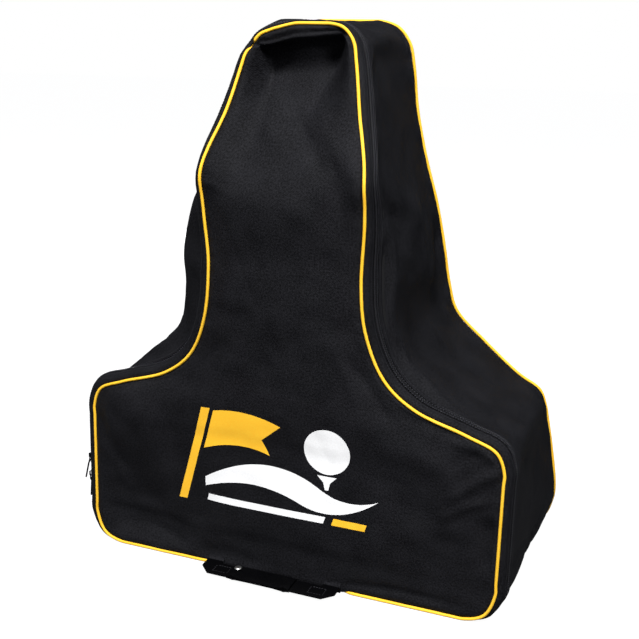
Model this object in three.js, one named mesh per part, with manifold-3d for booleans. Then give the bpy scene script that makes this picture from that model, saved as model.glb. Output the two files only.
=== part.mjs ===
// Soft zip-up travel bag for a folding golf trolley: a bell-shaped front and back panel joined by
// a wide gusset, with piped seams, a zip round the front and a carry handle at the foot.
// Millimetres, +Z up. The front faces -Y and the bag stands on its wide base.
import * as THREE from "three";
import { mergeVertices } from "three/addons/utils/BufferGeometryUtils.js";
import Module from "manifold-3d";

const wasm = await Module();
wasm.setup();

// Overall sizes
const bagHalfWidth = 305;
const bagHeight = 760;
const baseDepth = 346;
const topDepth = 215;

// Cloth, cord and seams
const clothThickness = 2.4;
const pipingRadius = 2.1;
const fitGap = 0.3;
const layerGap = 0.6;
const seamGap = 0.9;
const bindingThickness = 1.6;
const bindingWidth = 9;
const frontBindingStart = 4.2;
const backBindingStart = 5.6;

// Soft form of the filled bag
const stripFlareLeft = 18;
const stripFlareRight = 13;
const stripDepth = 18;
const crownDepth = 46;
const frontCrown = 13;
const backCrown = 9;
const leanReach = 40;
const rightCrownShare = 0.54;
const foldReach = 24;
const foldDepth = 6;
const foldFade = 30;
const lipDrop = 23;
const lipStep = 5;
const hollowDepth = 24;
const hollowDrop = 42;
const hollowReturn = 50;
const hollowMargin = 7;
const hollowFade = 18;

// Zip
const zipWindow = 12;
const tapeReach = 16;
const tapeThickness = 0.8;
const coilWidth = 2.8;
const coilThickness = 2;
const coilSplit = 1.4;
const stopLength = 5;

// Zip sliders and pulls
const sliderLength = 17;
const sliderWidth = 10.4;
const sliderTail = 6.8;
const sliderBackWidth = 8;
const sliderPlate = 1.4;
const sliderPost = 0.6;
const sliderSet = 0.2;
const sliderPostLength = 5;
const sliderFlange = 1.3;
const sliderFlangeDepth = 2.2;
const sliderBackDepth = 5;
const bridgeLength = 9;
const bridgeWidth = 2.4;
const bridgeHeight = 6.2;
const bridgeBar = 1.3;
const pullLength = 36;
const pullThickness = 1.1;
const pullHeadWidth = 5.8;
const pullEyeWidth = 3.2;
const pullEyeLength = 3.7;
const pullPinHalf = 0.7;
const pullHeadEnd = 1.7;
const pullLeafWidth = 3.4;
const pullNeck = 5;
const pullSideStep = 2.15;
const pullHingeDrop = 1.5;
const pullHingeRise = 3.2;

// Carry handle
const handleCentre = -10;
const handleSpan = 204;
const strapWidth = 24;
const strapThickness = 2.4;
const handleBand = 28;
const handleDroop = 4;
const handleReach = 33;
const handleChamfer = 15;
const anchorHeight = 27;
const anchorStepHeight = 13;
const anchorStepDrop = 4;
const anchorFoot = 0.8;
const hingeHeight = 9.5;
const gripLength = 96;
const gripShift = -8;
const gripWidth = 32;
const gripThickness = 12;
const studRadius = 5.5;
const studHeight = 1.8;
const studInset = 10;
const studBack = 4;

// Side line of the three outlines from the foot to the top, as shares of the half width and height:
// the front seam, the crown where the cloth stands out most behind the zip, and the back seam.
// The last share is how much of the flare the strip beside the front seam has there.
const sideLineShares = [
  { front: [0.82, 0], crown: [0.86, 0], back: [0.846, 0], flare: 0.14 },
  { front: [0.955, 0.017], crown: [1.01, 0.018], back: [1.01, 0.02], flare: 0.6 },
  { front: [1, 0.059], crown: [1.069, 0.059], back: [1.059, 0.066], flare: 1 },
  { front: [1, 0.082], crown: [1.069, 0.082], back: [1.066, 0.105], flare: 1 },
  { front: [1, 0.257], crown: [1.069, 0.257], back: [1.013, 0.25], flare: 1 },
  { front: [1, 0.283], crown: [1.069, 0.283], back: [0.997, 0.282], flare: 1 },
  { front: [0.964, 0.316], crown: [1.023, 0.316], back: [0.964, 0.314], flare: 0.95 },
  { front: [0.836, 0.338], crown: [0.902, 0.345], back: [0.859, 0.341], flare: 0.8 },
  { front: [0.6, 0.37], crown: [0.695, 0.416], back: [0.675, 0.405], flare: 0.85 },
  { front: [0.466, 0.414], crown: [0.59, 0.463], back: [0.531, 0.464], flare: 1 },
  { front: [0.384, 0.489], crown: [0.562, 0.529], back: [0.492, 0.52], flare: 1 },
  { front: [0.357, 0.579], crown: [0.57, 0.599], back: [0.462, 0.601], flare: 1 },
  { front: [0.37, 0.684], crown: [0.512, 0.687], back: [0.423, 0.684], flare: 0.8 },
  { front: [0.367, 0.763], crown: [0.416, 0.77], back: [0.37, 0.767], flare: 0.6 },
  { front: [0.302, 0.855], crown: [0.377, 0.862], back: [0.328, 0.855], flare: 0.8 },
  { front: [0.259, 0.934], crown: [0.318, 0.939], back: [0.311, 0.934], flare: 0.7 },
  { front: [0.236, 0.971], crown: [0.279, 0.976], back: [0.291, 0.976], flare: 0.5 },
  { front: [0.19, 0.992], crown: [0.213, 1], back: [0.237, 1.004], flare: 0.35 },
  { front: [0.125, 0.999], crown: [0.138, 1.011], back: [0.15, 1.015], flare: 0.3 },
];
const footRow = 2;
const straightLowRow = 3;
const straightHighRow = 4;
const stepsPerSpan = [2, 2, 1, 3, 1, 2, 2, 2, 2, 2, 2, 2, 2, 2, 2, 4, 2, 2];

// Places across a panel from its left edge to its right edge, as shares of its half width
const acrossShares = [-1, -0.8, -0.6, -0.4, -0.2, 0, 0.2, 0.4, 0.6, 0.8, 1];

// How far the front seam stands back at each height, as shares of the lean
const leanShares = [
  [0, 0.1],
  [0.26, 0.1],
  [0.3, 0.1],
  [0.42, 0.02],
  [0.52, -0.16],
  [0.62, -0.24],
  [0.7, -0.42],
  [0.745, -0.6],
  [0.79, -0.3],
  [0.83, 0.06],
  [0.87, 0.36],
  [0.93, 0.7],
  [1.02, 1],
];

// Main folds of the cloth, each pressed in along a line, or raised where its depth is below zero.
// The ends of a line are shares of the half width, the base depth and the height.
const foldShares = [
  { from: [0.41, 0.05, 0.709], to: [0.46, 0.2, 0.655], reach: 0.9, depth: 1.1 },
  { from: [0.44, 0.2, 0.6], to: [0.47, 0.56, 0.56], reach: 1.2, depth: -0.7 },
  { from: [0.47, 0.74, 0.615], to: [0.49, 0.62, 0.52], reach: 1, depth: 1.1 },
  { from: [0.56, 0.25, 0.46], to: [0.72, 0.55, 0.4], reach: 1.1, depth: 0.8 },
  { from: [-0.47, 0.16, 0.735], to: [-0.44, 0.56, 0.67], reach: 1.1, depth: 0.9 },
  { from: [-0.52, 0.2, 0.55], to: [-0.56, 0.5, 0.47], reach: 1.2, depth: 0.8 },
  { from: [1.02, 0.25, 0.27], to: [1.04, 0.6, 0.2], reach: 1.2, depth: 0.8 },
  { from: [-1.04, 0.25, 0.25], to: [-1.03, 0.6, 0.19], reach: 1.2, depth: 0.8 },
  { from: [0, -0.02, 0.842], to: [0.3, -0.07, 0.758], reach: 0.65, depth: 0.9 },
  { from: [-0.14, -0.02, 0.85], to: [0.16, -0.06, 0.735], reach: 0.75, depth: -0.5 },
  { from: [-0.16, -0.06, 0.765], to: [0.24, -0.07, 0.735], reach: 1.4, depth: 1 },
];

// Where the two sliders stand on the straight left run of the zip, and how far they run
const straightLow = sideLineShares[straightLowRow].front[1] * bagHeight;
const straightHigh = sideLineShares[straightHighRow].front[1] * bagHeight;
const straightRun = straightHigh - straightLow;
const upperSlider = { name: "upper", share: 0.46, wide: 1, lean: 13, aside: -1 };
const lowerSlider = { name: "lower", share: 0.24, wide: -1, lean: 4, aside: 1 };

// Looks
const materials = {
  cloth: { color: 0x17171a, roughness: 0.86, metalness: 0 },
  piping: { color: 0xf2b81e, roughness: 0.6, metalness: 0 },
  binding: { color: 0x1b1b1d, roughness: 0.9, metalness: 0 },
  tape: { color: 0x141416, roughness: 0.9, metalness: 0 },
  coil: { color: 0x101012, roughness: 0.45, metalness: 0 },
  webbing: { color: 0x151517, roughness: 0.8, metalness: 0 },
  grip: { color: 0x121214, roughness: 0.75, metalness: 0 },
  gunmetal: { color: 0x3a3a3e, roughness: 0.35, metalness: 1 },
  steel: { color: 0x9a9a9e, roughness: 0.3, metalness: 1 },
};

const part = new THREE.Group();

function addMesh(name, geometry, look, parent = part) {
  const mesh = new THREE.Mesh(geometry, new THREE.MeshStandardMaterial(materials[look]));
  mesh.name = name;
  parent.add(mesh);
  return mesh;
}

// Six times the signed volume, positive when the faces point out
function signedVolume(points, faces) {
  const cross = new THREE.Vector3();
  return faces.reduce((sum, [a, b, c]) => {
    cross.crossVectors(points[b], points[c]);
    return sum + points[a].dot(cross);
  }, 0);
}

function solidGeometry(points, faces) {
  const outward = signedVolume(points, faces) > 0;
  const geometry = new THREE.BufferGeometry();
  geometry.setFromPoints(points);
  geometry.setIndex(faces.flatMap(([a, b, c]) => (outward ? [a, b, c] : [a, c, b])));
  geometry.computeVertexNormals();
  return geometry;
}

// A sheet with thickness: two like grids of points, one outside and one inside, and the edges
function sheetGeometry(outer, inner, closed = false) {
  const rows = outer.length;
  const columns = outer[0].length;
  const points = [...outer.flat(), ...inner.flat()];
  const at = (side, row, column) => side * rows * columns + row * columns + (column % columns);
  const faces = [];
  const quad = (a, b, c, d) => faces.push([a, b, c], [a, c, d]);
  const last = closed ? columns : columns - 1;
  for (let row = 0; row < rows - 1; row += 1) {
    for (let column = 0; column < last; column += 1) {
      const next = column + 1;
      quad(at(0, row, column), at(0, row + 1, column), at(0, row + 1, next), at(0, row, next));
      quad(at(1, row, column), at(1, row, next), at(1, row + 1, next), at(1, row + 1, column));
    }
    if (!closed) {
      quad(at(0, row, 0), at(1, row, 0), at(1, row + 1, 0), at(0, row + 1, 0));
      quad(at(0, row, last), at(0, row + 1, last), at(1, row + 1, last), at(1, row, last));
    }
  }
  for (let column = 0; column < last; column += 1) {
    const next = column + 1;
    quad(at(0, 0, column), at(0, 0, next), at(1, 0, next), at(1, 0, column));
    const end = rows - 1;
    quad(at(0, end, column), at(1, end, column), at(1, end, next), at(0, end, next));
  }
  return solidGeometry(points, faces);
}

// A solid cord through rings of points, open with end caps or closed on itself
function cordGeometry(rings, closed) {
  const sides = rings[0].length;
  const points = rings.flat();
  const faces = [];
  const spans = closed ? rings.length : rings.length - 1;
  for (let ring = 0; ring < spans; ring += 1) {
    const here = ring * sides;
    const there = ((ring + 1) % rings.length) * sides;
    for (let side = 0; side < sides; side += 1) {
      const next = (side + 1) % sides;
      faces.push([here + side, here + next, there + next], [here + side, there + next, there + side]);
    }
  }
  if (!closed) {
    for (let side = 1; side < sides - 1; side += 1) {
      const end = (rings.length - 1) * sides;
      faces.push([0, side + 1, side], [end, end + side, end + side + 1]);
    }
  }
  return solidGeometry(points, faces);
}

const smooth = (share) => share * share * (3 - 2 * share);
const mix = (from, to, share) => from + (to - from) * share;
const clampShare = (share) => Math.min(1, Math.max(0, share));

const folds = foldShares.map(({ from, to, reach, depth }) => {
  const size = new THREE.Vector3(bagHalfWidth, baseDepth, bagHeight);
  const [start, end] = [from, to].map((place) => new THREE.Vector3(...place).multiply(size));
  return { start, line: end.sub(start), reach: reach * foldReach, depth: depth * foldDepth };
});

// How far the folds press the cloth in at a point
function foldPress(point) {
  return folds.reduce((sum, { start, line, reach, depth }) => {
    const share = clampShare(point.clone().sub(start).dot(line) / line.lengthSq());
    const distance = point.distanceTo(start.clone().addScaledVector(line, share)) / reach;
    return sum + depth * Math.exp(-distance * distance);
  }, 0);
}

// Front seam depth at a height, from the lean table
const leanCurve = new THREE.CatmullRomCurve3(
  leanShares.map(([height, lean]) => new THREE.Vector3(height * bagHeight, lean * leanReach, 0)),
  false,
  "centripetal",
).getPoints(leanShares.length * 12);

function frontDepth(height) {
  const after = leanCurve.findIndex((point) => point.x >= height);
  if (after <= 0) {
    return leanCurve[after === 0 ? 0 : leanCurve.length - 1].y;
  }
  const low = leanCurve[after - 1];
  const high = leanCurve[after];
  return mix(low.y, high.y, (height - low.x) / (high.x - low.x));
}

const backDepth = (height) => mix(baseDepth, topDepth, height / bagHeight);

// The three outlines as curves through the side line's rows, with one more row past each end so
// that the base and the top run on level
function outlineCurve(key) {
  const rows = sideLineShares.map((row) => row[key]);
  const ends = [rows[0], rows[rows.length - 1]].map(([across, up]) => [across / 2, up]);
  const places = [ends[0], ...rows, ends[1]].map(
    ([across, up]) => new THREE.Vector3(across * bagHalfWidth, up * bagHeight, 0),
  );
  return new THREE.CatmullRomCurve3(places, false, "centripetal");
}

const curves = {
  front: outlineCurve("front"),
  crown: outlineCurve("crown"),
  back: outlineCurve("back"),
};
const rowCount = sideLineShares.length;

// Place on an outline at a row count along the side, for example 2.5 is between rows 2 and 3
function outlinePlace(key, row, side) {
  const place = curves[key].getPoint((row + 1) / (rowCount + 1));
  const floor = key === "crown" ? 0 : pipingRadius;
  return new THREE.Vector2(side * place.x, Math.max(place.y, floor));
}

function outlineNormal(key, row, side) {
  const step = 0.02;
  const before = curves[key].getPoint((row + 1 - step) / (rowCount + 1));
  const after = curves[key].getPoint((row + 1 + step) / (rowCount + 1));
  const along = after.sub(before).normalize();
  return new THREE.Vector2(side * along.y, -along.x);
}

function flareAt(row) {
  const low = Math.min(rowCount - 2, Math.floor(row));
  return mix(sideLineShares[low].flare, sideLineShares[low + 1].flare, row - low);
}

const topRow = rowCount - 1;
const levelUp = new THREE.Vector2(0, 1);
const levelDown = new THREE.Vector2(0, -1);
const baseSeamRow = 0.05;

// One column of the bag: the three seam places at one place round the outline
function sideColumn(side, row) {
  const left = side < 0;
  const level = clampShare(1 - row / footRow);
  const square = row < baseSeamRow ? levelDown : null;
  const front = outlinePlace("front", row, side);
  const full = outlinePlace("crown", row, side);
  const crownShare = left ? 1 : mix(rightCrownShare, 1, level);
  const crown = front.clone().lerp(full, crownShare);
  return {
    front,
    crown,
    back: outlinePlace("back", row, side),
    frontNormal: square ?? outlineNormal("front", row, side),
    backNormal: square ?? outlineNormal("back", row, side),
    flare: flareAt(row) * (left ? stripFlareLeft : stripFlareRight),
    level,
  };
}

function columnBetween(first, second, share, normal) {
  const column = {};
  for (const key of ["front", "crown", "back"]) {
    column[key] = first[key].clone().lerp(second[key], share);
  }
  column.frontNormal = normal.clone();
  column.backNormal = normal.clone();
  column.flare = mix(first.flare, second.flare, share);
  column.level = mix(first.level, second.level, share);
  return column;
}

// The gusset's cut through one column, as points from the front seam to the back seam. It flares
// out of the front seam in a quarter round, runs along the zip, swells to the crown and then
// falls to the back seam, where the base stays level until it is near the seam. No point of it
// reaches below the floor.
const flareSteps = 8;
const swellSteps = 6;
const fallSteps = 12;
const levelReach = 0.9;

function gussetCut(column) {
  const depth = frontDepth(column.front.y);
  const zipPlace = column.front.clone().addScaledVector(column.frontNormal, column.flare);
  const backY = backDepth(column.back.y);
  const points = [];
  const put = (place, y) => points.push(new THREE.Vector3(place.x, y, Math.max(place.y, 0)));
  for (let step = 0; step <= flareSteps; step += 1) {
    const turn = (step / flareSteps) * (Math.PI / 2);
    const place = column.front.clone().lerp(zipPlace, Math.sin(turn));
    put(place, depth + stripDepth * (1 - Math.cos(turn)));
  }
  for (let step = 1; step <= swellSteps; step += 1) {
    const share = step / swellSteps;
    const place = zipPlace.clone().lerp(column.crown, smooth(share));
    put(place, depth + mix(stripDepth, crownDepth, share));
  }
  const levelShare = levelReach * column.level;
  for (let step = 1; step <= fallSteps; step += 1) {
    const share = step / fallSteps;
    const fall = Math.max(0, (share - levelShare) / (1 - levelShare)) ** 2;
    put(column.crown.clone().lerp(column.back, fall), mix(depth + crownDepth, backY, share));
  }
  return points;
}

function withCut(column) {
  const cut = gussetCut(column);
  const lengths = [0];
  for (let index = 1; index < cut.length; index += 1) {
    lengths.push(lengths[index - 1] + cut[index].distanceTo(cut[index - 1]));
  }
  return { ...column, cut, lengths, total: lengths[lengths.length - 1] };
}

// Point on the gusset at a length from the front seam, and the direction of the cut there
function cutPoint(column, length) {
  const { cut, lengths } = column;
  const found = lengths.findIndex((value) => value >= length);
  const index = Math.max(1, found < 0 ? cut.length - 1 : found);
  const share = (length - lengths[index - 1]) / (lengths[index] - lengths[index - 1]);
  return cut[index - 1].clone().lerp(cut[index], share);
}

function cutDirection(column, length) {
  const reach = clothThickness / 2;
  const before = cutPoint(column, Math.max(0, length - reach));
  const after = cutPoint(column, Math.min(column.total, length + reach));
  return after.sub(before).normalize();
}

// Rows from one row count to another, through the steps that the spans between them ask for
function rowsBetween(low, high) {
  const rows = [low];
  for (let span = 0; span < rowCount - 1; span += 1) {
    for (let step = 0; step < stepsPerSpan[span]; step += 1) {
      const row = span + step / stepsPerSpan[span];
      if (row > low + 0.2 && row < high - 0.2) {
        rows.push(row);
      }
    }
  }
  rows.push(high);
  return rows;
}

// Length of the front seam's span above a row, and half a fitting gap as a share of it
function spanLength(row) {
  return outlinePlace("front", row, 1).distanceTo(outlinePlace("front", row + 1, 1));
}

const gapShare = (row) => fitGap / 2 / spanLength(row);

const sideColumns = (side, low, high) => rowsBetween(low, high).map((row) => withCut(sideColumn(side, row)));

function levelColumns(lowRow, normal, inset) {
  const left = sideColumn(-1, lowRow);
  const right = sideColumn(1, lowRow);
  const reach = 1 - inset / Math.abs(right.front.x);
  return acrossShares.map((share) =>
    withCut(columnBetween(left, right, (share * reach + 1) / 2, normal)),
  );
}

// Columns up the right side, over the top and down the left side
function archColumns(lowRow) {
  const right = sideColumns(1, lowRow, topRow);
  const left = sideColumns(-1, lowRow, topRow).reverse();
  const top = levelColumns(topRow, levelUp, 0).slice(1, -1).reverse();
  return [...right, ...top, ...left];
}

const flapColumns = archColumns(footRow + gapShare(footRow));
const footColumns = archColumns(footRow);
const wholeArch = archColumns(gapShare(0));
const baseColumns = levelColumns(0, levelDown, fitGap / 2);
const ringColumns = [...archColumns(0), ...levelColumns(0, levelDown, 0).slice(1, -1)];

// A grid of gusset points, one row for each length function, with the outward normals
function gussetGrid(columns, lengthsAt) {
  const points = lengthsAt.map((lengthAt) => columns.map((column) => cutPoint(column, lengthAt(column))));
  const normals = points.map((row, rowIndex) =>
    row.map((point, index) => {
      const inside = index > 0 && index < row.length - 1;
      const { frontNormal } = columns[index];
      const along = inside
        ? row[index + 1].clone().sub(row[index - 1]).normalize()
        : new THREE.Vector3(-frontNormal.y, 0, frontNormal.x);
      const across = cutDirection(columns[index], lengthsAt[rowIndex](columns[index]));
      return across.cross(along).normalize();
    }),
  );
  return { points, normals };
}

// A sheet on the gusset between lengths, from one depth below the outer face to another. Where it
// is folded, the folds run out towards the zip and the back seam.
function gussetSheet(columns, lengthsAt, from, to, folded = false) {
  const { points, normals } = gussetGrid(columns, lengthsAt);
  const press = (point, rowIndex, column) => {
    const length = lengthsAt[rowIndex](column);
    const margin = Math.min(length - rearTapeEdge(column), column.total - seamStart - length);
    return folded ? foldPress(point) * smooth(clampShare(margin / foldFade)) : 0;
  };
  const sink = (depth) =>
    points.map((row, rowIndex) =>
      row.map((point, index) => {
        const inward = depth + press(point, rowIndex, columns[index]);
        return point.clone().addScaledVector(normals[rowIndex][index], -inward);
      }),
    );
  return sheetGeometry(sink(from), sink(to));
}

const flareLength = (column) => column.lengths[flareSteps];
const seamStart = pipingRadius + seamGap;
const fromFront = (length) => () => length;
const fromZip = (step) => (column) => flareLength(column) + step;

// Rows of the sheets: neighbours and layers share them, so that their flat faces stay parallel
const beforeZip = fromZip(-zipWindow / 2);
const behindZip = fromZip(zipWindow / 2);
const frontTapeEdge = fromZip(-tapeReach);
const rearTapeEdge = fromZip(tapeReach);
const gussetShares = [0.08, 0.18, 0.28, 0.38, 0.48, 0.58, 0.68, 0.79, 0.91, 1];
const gussetLengths = gussetShares.map(
  (share) => (column) => mix(rearTapeEdge(column), column.total - seamStart, share),
);
const stripLengths = [fromFront(seamStart), frontTapeEdge, beforeZip];
const fullLengths = [behindZip, rearTapeEdge, ...gussetLengths];

// Cloth of the gusset
addMesh("main_gusset", gussetSheet(wholeArch, fullLengths, 0, clothThickness, true), "cloth");
addMesh("base_panel", gussetSheet(baseColumns, [...stripLengths, ...fullLengths], 0, clothThickness), "cloth");
addMesh("front_gusset_strip", gussetSheet(flapColumns, stripLengths, 0, clothThickness), "cloth");

for (const [name, side] of [["right", 1], ["left", -1]]) {
  const columns = sideColumns(side, gapShare(0), footRow - gapShare(footRow));
  const ordered = side > 0 ? columns : columns.reverse();
  const lengths = [...stripLengths, fromZip(zipWindow / 2 - fitGap)];
  addMesh(`zip_end_patch_${name}`, gussetSheet(ordered, lengths, 0, clothThickness), "cloth");
}

// Zip: two tapes under the cloth edges, and a row of coil on the inner edge of each
const tapeTop = clothThickness + layerGap;
const coilTop = tapeTop - layerGap - coilThickness;
const coilStart = footRow + (stopLength + fitGap) / spanLength(footRow);
const coilColumns = archColumns(coilStart);
const zipHalves = [
  { name: "front", columns: flapColumns, side: -1 },
  { name: "rear", columns: footColumns, side: 1 },
];
for (const { name, columns, side } of zipHalves) {
  const rows = (steps) => steps.map((step) => fromZip(side * step));
  const tape = rows([coilSplit / 2, zipWindow / 2, tapeReach]);
  addMesh(`${name}_zip_tape`, gussetSheet(columns, tape, tapeTop, tapeTop + tapeThickness), "tape");
  const coil = rows([coilSplit / 2, coilSplit / 2 + coilWidth]);
  addMesh(`${name}_zip_coil`, gussetSheet(coilColumns, coil, coilTop, coilTop + coilThickness), "coil");
}

// A stop across the foot of the zip on each side
for (const [name, side] of [["right", 1], ["left", -1]]) {
  const columns = sideColumns(side, footRow + gapShare(footRow), coilStart - gapShare(footRow) * 2);
  const ordered = side > 0 ? columns : columns.reverse();
  const edges = [-coilSplit / 2 - coilWidth, coilSplit / 2 + coilWidth].map(fromZip);
  addMesh(`zip_stop_${name}`, gussetSheet(ordered, edges, coilTop, coilTop + coilThickness), "gunmetal");
}

// Piping round the front and back seams
const cordSides = 8;

function cordRings(columns, centre, normalKey) {
  return columns.map((column) => {
    const middle = centre(column);
    const normal = column[normalKey];
    return Array.from({ length: cordSides }, (unused, side) => {
      const turn = ((side + 0.5) / cordSides) * 2 * Math.PI;
      const out = Math.cos(turn) * pipingRadius;
      const back = Math.sin(turn) * pipingRadius;
      return new THREE.Vector3(middle.x + normal.x * out, middle.y + back, middle.z + normal.y * out);
    });
  });
}

const frontSeam = (column) => new THREE.Vector3(column.front.x, frontDepth(column.front.y), column.front.y);
const backSeam = (column) => new THREE.Vector3(column.back.x, backDepth(column.back.y), column.back.y);

// Columns of the stretch of front seam below the fold: down the left foot, along the base and up
const footTop = footRow - gapShare(footRow);
const lowerColumns = [
  ...sideColumns(-1, 0, footTop).reverse(),
  ...levelColumns(0, levelDown, 0).slice(1, -1),
  ...sideColumns(1, 0, footTop),
];
addMesh("front_piping", cordGeometry(cordRings(flapColumns, frontSeam, "frontNormal"), false), "piping");
addMesh(
  "front_base_piping",
  cordGeometry(cordRings(lowerColumns, frontSeam, "frontNormal"), false),
  "piping",
);
addMesh("back_piping", cordGeometry(cordRings(ringColumns, backSeam, "backNormal"), true), "piping");

// Bound seam allowances inside the seams: a band from the seam into the bag. A direction's first
// number is outward from the outline and its second is towards the back.
function bindingSheet(columns, seam, normalKey, start, direction, closed) {
  const place = (column, reach, side) => {
    const normal = column[normalKey];
    const out = direction.x * reach - (direction.y * side * bindingThickness) / 2;
    const back = direction.y * reach + (direction.x * side * bindingThickness) / 2;
    return seam(column).add(new THREE.Vector3(normal.x * out, back, normal.y * out));
  };
  const grid = (side) =>
    [start, start + bindingWidth].map((reach) =>
      columns.map((column) => place(column, reach, side)),
    );
  return sheetGeometry(grid(1), grid(-1), closed);
}

const slantBack = new THREE.Vector2(-Math.SQRT1_2, Math.SQRT1_2);
const slantForward = new THREE.Vector2(-Math.SQRT1_2, -Math.SQRT1_2);
addMesh(
  "front_seam_binding",
  bindingSheet(flapColumns, frontSeam, "frontNormal", frontBindingStart, slantBack, false),
  "binding",
);
addMesh(
  "front_base_binding",
  bindingSheet(lowerColumns, frontSeam, "frontNormal", frontBindingStart, slantBack, false),
  "binding",
);
addMesh(
  "back_seam_binding",
  bindingSheet(ringColumns, backSeam, "backNormal", backBindingStart, slantForward, true),
  "binding",
);

// Slack top of the front: the cloth folds over a lip, falls back under it as far as the drop, and
// comes forward again. The hollow narrows as it falls.
const lipShare = 0.25;
const hollowNarrowing = 0.5;

function hollowPress(point, margin) {
  const below = Math.max(0, bagHeight - lipDrop - point.z);
  const lip = lipShare * smooth(clampShare(below / lipStep));
  const fall = (1 - lipShare) * smooth(clampShare(below / hollowDrop));
  const left = 1 - smooth(clampShare((below - hollowDrop) / hollowReturn));
  const inside = smooth(clampShare((margin - hollowMargin) / (hollowFade + hollowNarrowing * below)));
  return hollowDepth * (lip + fall) * left * inside;
}

// The front's folds and hollow, at a distance from the nearer side seam
const frontPress = (point, margin) =>
  foldPress(point) * smooth(clampShare(margin / foldFade)) + hollowPress(point, margin);

// A panel between the left and right seam, row by row, with a crown over its middle
function panelGrid(rows, seam, normalKey, crown, rise, press = () => 0) {
  return rows.map((row) => {
    const edge = (side) => {
      const column = sideColumn(side, row);
      const normal = column[normalKey];
      return seam(column).addScaledVector(new THREE.Vector3(normal.x, 0, normal.y), -seamStart);
    };
    const left = edge(-1);
    const right = edge(1);
    return acrossShares.map((share) => {
      const point = left.clone().lerp(right, (share + 1) / 2);
      point.y += crown * (1 - share * share) * rise(row);
      point.y += press(point, (left.distanceTo(right) * (1 - Math.abs(share))) / 2);
      return point;
    });
  });
}

const panelSolid = (grid, thickness) =>
  sheetGeometry(grid, grid.map((row) => row.map((point) => point.clone().setY(point.y + thickness))));

// The front panel's crown starts from nothing at the fold, so that the fold is one straight line
const riseRows = 5;
const frontRise = (row) =>
  smooth(clampShare((row - footRow) / riseRows)) * clampShare((topRow - row) / riseRows);
const backRise = (row) =>
  smooth(clampShare(row / riseRows)) * smooth(clampShare((topRow - row) / riseRows));

const flapRows = rowsBetween(footRow + gapShare(footRow), topRow);
addMesh(
  "front_panel",
  panelSolid(
    panelGrid(flapRows, frontSeam, "frontNormal", -frontCrown, frontRise, frontPress),
    clothThickness,
  ),
  "cloth",
);
const lowerRows = rowsBetween(0, footTop);
addMesh(
  "front_base_panel",
  panelSolid(panelGrid(lowerRows, frontSeam, "frontNormal", 0, frontRise), clothThickness),
  "cloth",
);
const backRows = rowsBetween(0, topRow);
addMesh(
  "back_panel",
  panelSolid(panelGrid(backRows, backSeam, "backNormal", backCrown, backRise), -clothThickness),
  "cloth",
);

// Joins and cuts of closed shapes
function toSolid(geometry) {
  const bare = geometry.clone();
  bare.deleteAttribute("normal");
  bare.deleteAttribute("uv");
  const merged = mergeVertices(bare);
  return new wasm.Manifold(
    new wasm.Mesh({
      numProp: 3,
      vertProperties: new Float32Array(merged.attributes.position.array),
      triVerts: new Uint32Array(merged.index.array),
    }),
  );
}

function fromSolid(solid) {
  const { vertProperties, triVerts } = solid.getMesh();
  const geometry = new THREE.BufferGeometry();
  geometry.setAttribute("position", new THREE.BufferAttribute(vertProperties, 3));
  geometry.setIndex(new THREE.BufferAttribute(triVerts, 1));
  geometry.computeVertexNormals();
  return geometry;
}

const outline = (points) => new THREE.Shape(points.map(([across, up]) => new THREE.Vector2(across, up)));

function extruded(shape, depth, curveSegments = 8) {
  return new THREE.ExtrudeGeometry(shape, { depth, bevelEnabled: false, curveSegments });
}

// Slider in its own frame: X across the zip towards the back of the bag, Y down along the zip and
// Z out of the cloth. The wide end is at the bottom when wide is 1 and at the top when it is -1.
function sliderGeometry(wide) {
  const half = (sliderLength / 2) * wide;
  const post = sliderPostLength * wide;
  const shield = outline([
    [-sliderTail / 2, -half],
    [sliderTail / 2, -half],
    [sliderWidth / 2, half - post],
    [sliderWidth / 2, half],
    [-sliderWidth / 2, half],
    [-sliderWidth / 2, half - post],
  ]);
  const plateUnder = fitGap - coilTop;
  const plate = extruded(shield, sliderPlate).translate(0, 0, plateUnder);
  const back = extruded(
    outline([
      [-sliderTail / 2, -half],
      [sliderTail / 2, -half],
      [sliderBackWidth / 2, half],
      [-sliderBackWidth / 2, half],
    ]),
    sliderPlate,
  ).translate(0, 0, -sliderBackDepth - sliderPlate);
  const postHeight = sliderBackDepth + plateUnder + sliderPlate;
  const wedge = new THREE.BoxGeometry(sliderPost, sliderPostLength, postHeight).translate(
    0,
    half - post / 2,
    postHeight / 2 - sliderBackDepth - sliderPlate / 2,
  );
  const flange = new THREE.BoxGeometry(sliderFlange, sliderLength, sliderFlangeDepth + sliderPlate).translate(
    sliderWidth / 2 - sliderFlange / 2,
    0,
    plateUnder + sliderPlate / 2 - sliderFlangeDepth / 2,
  );
  const footing = plateUnder + sliderPlate;
  const reach = bridgeLength / 2;
  const arch = outline([
    [-reach, footing - sliderPlate / 2],
    [-reach, footing + bridgeHeight / 2],
    [-reach + bridgeBar, footing + bridgeHeight],
    [reach - bridgeBar, footing + bridgeHeight],
    [reach, footing + bridgeHeight / 2],
    [reach, footing - sliderPlate / 2],
    [reach - bridgeBar, footing - sliderPlate / 2],
    [reach - bridgeBar, footing + bridgeHeight - bridgeBar],
    [-reach + bridgeBar, footing + bridgeHeight - bridgeBar],
    [-reach + bridgeBar, footing - sliderPlate / 2],
  ]);
  const bridge = extruded(arch, bridgeWidth)
    .translate(0, 0, -bridgeWidth / 2)
    .rotateX(Math.PI / 2)
    .rotateZ(Math.PI / 2);
  return fromSolid([back, wedge, flange, bridge].map(toSolid).reduce((sum, one) => sum.add(one), toSolid(plate)));
}

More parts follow.
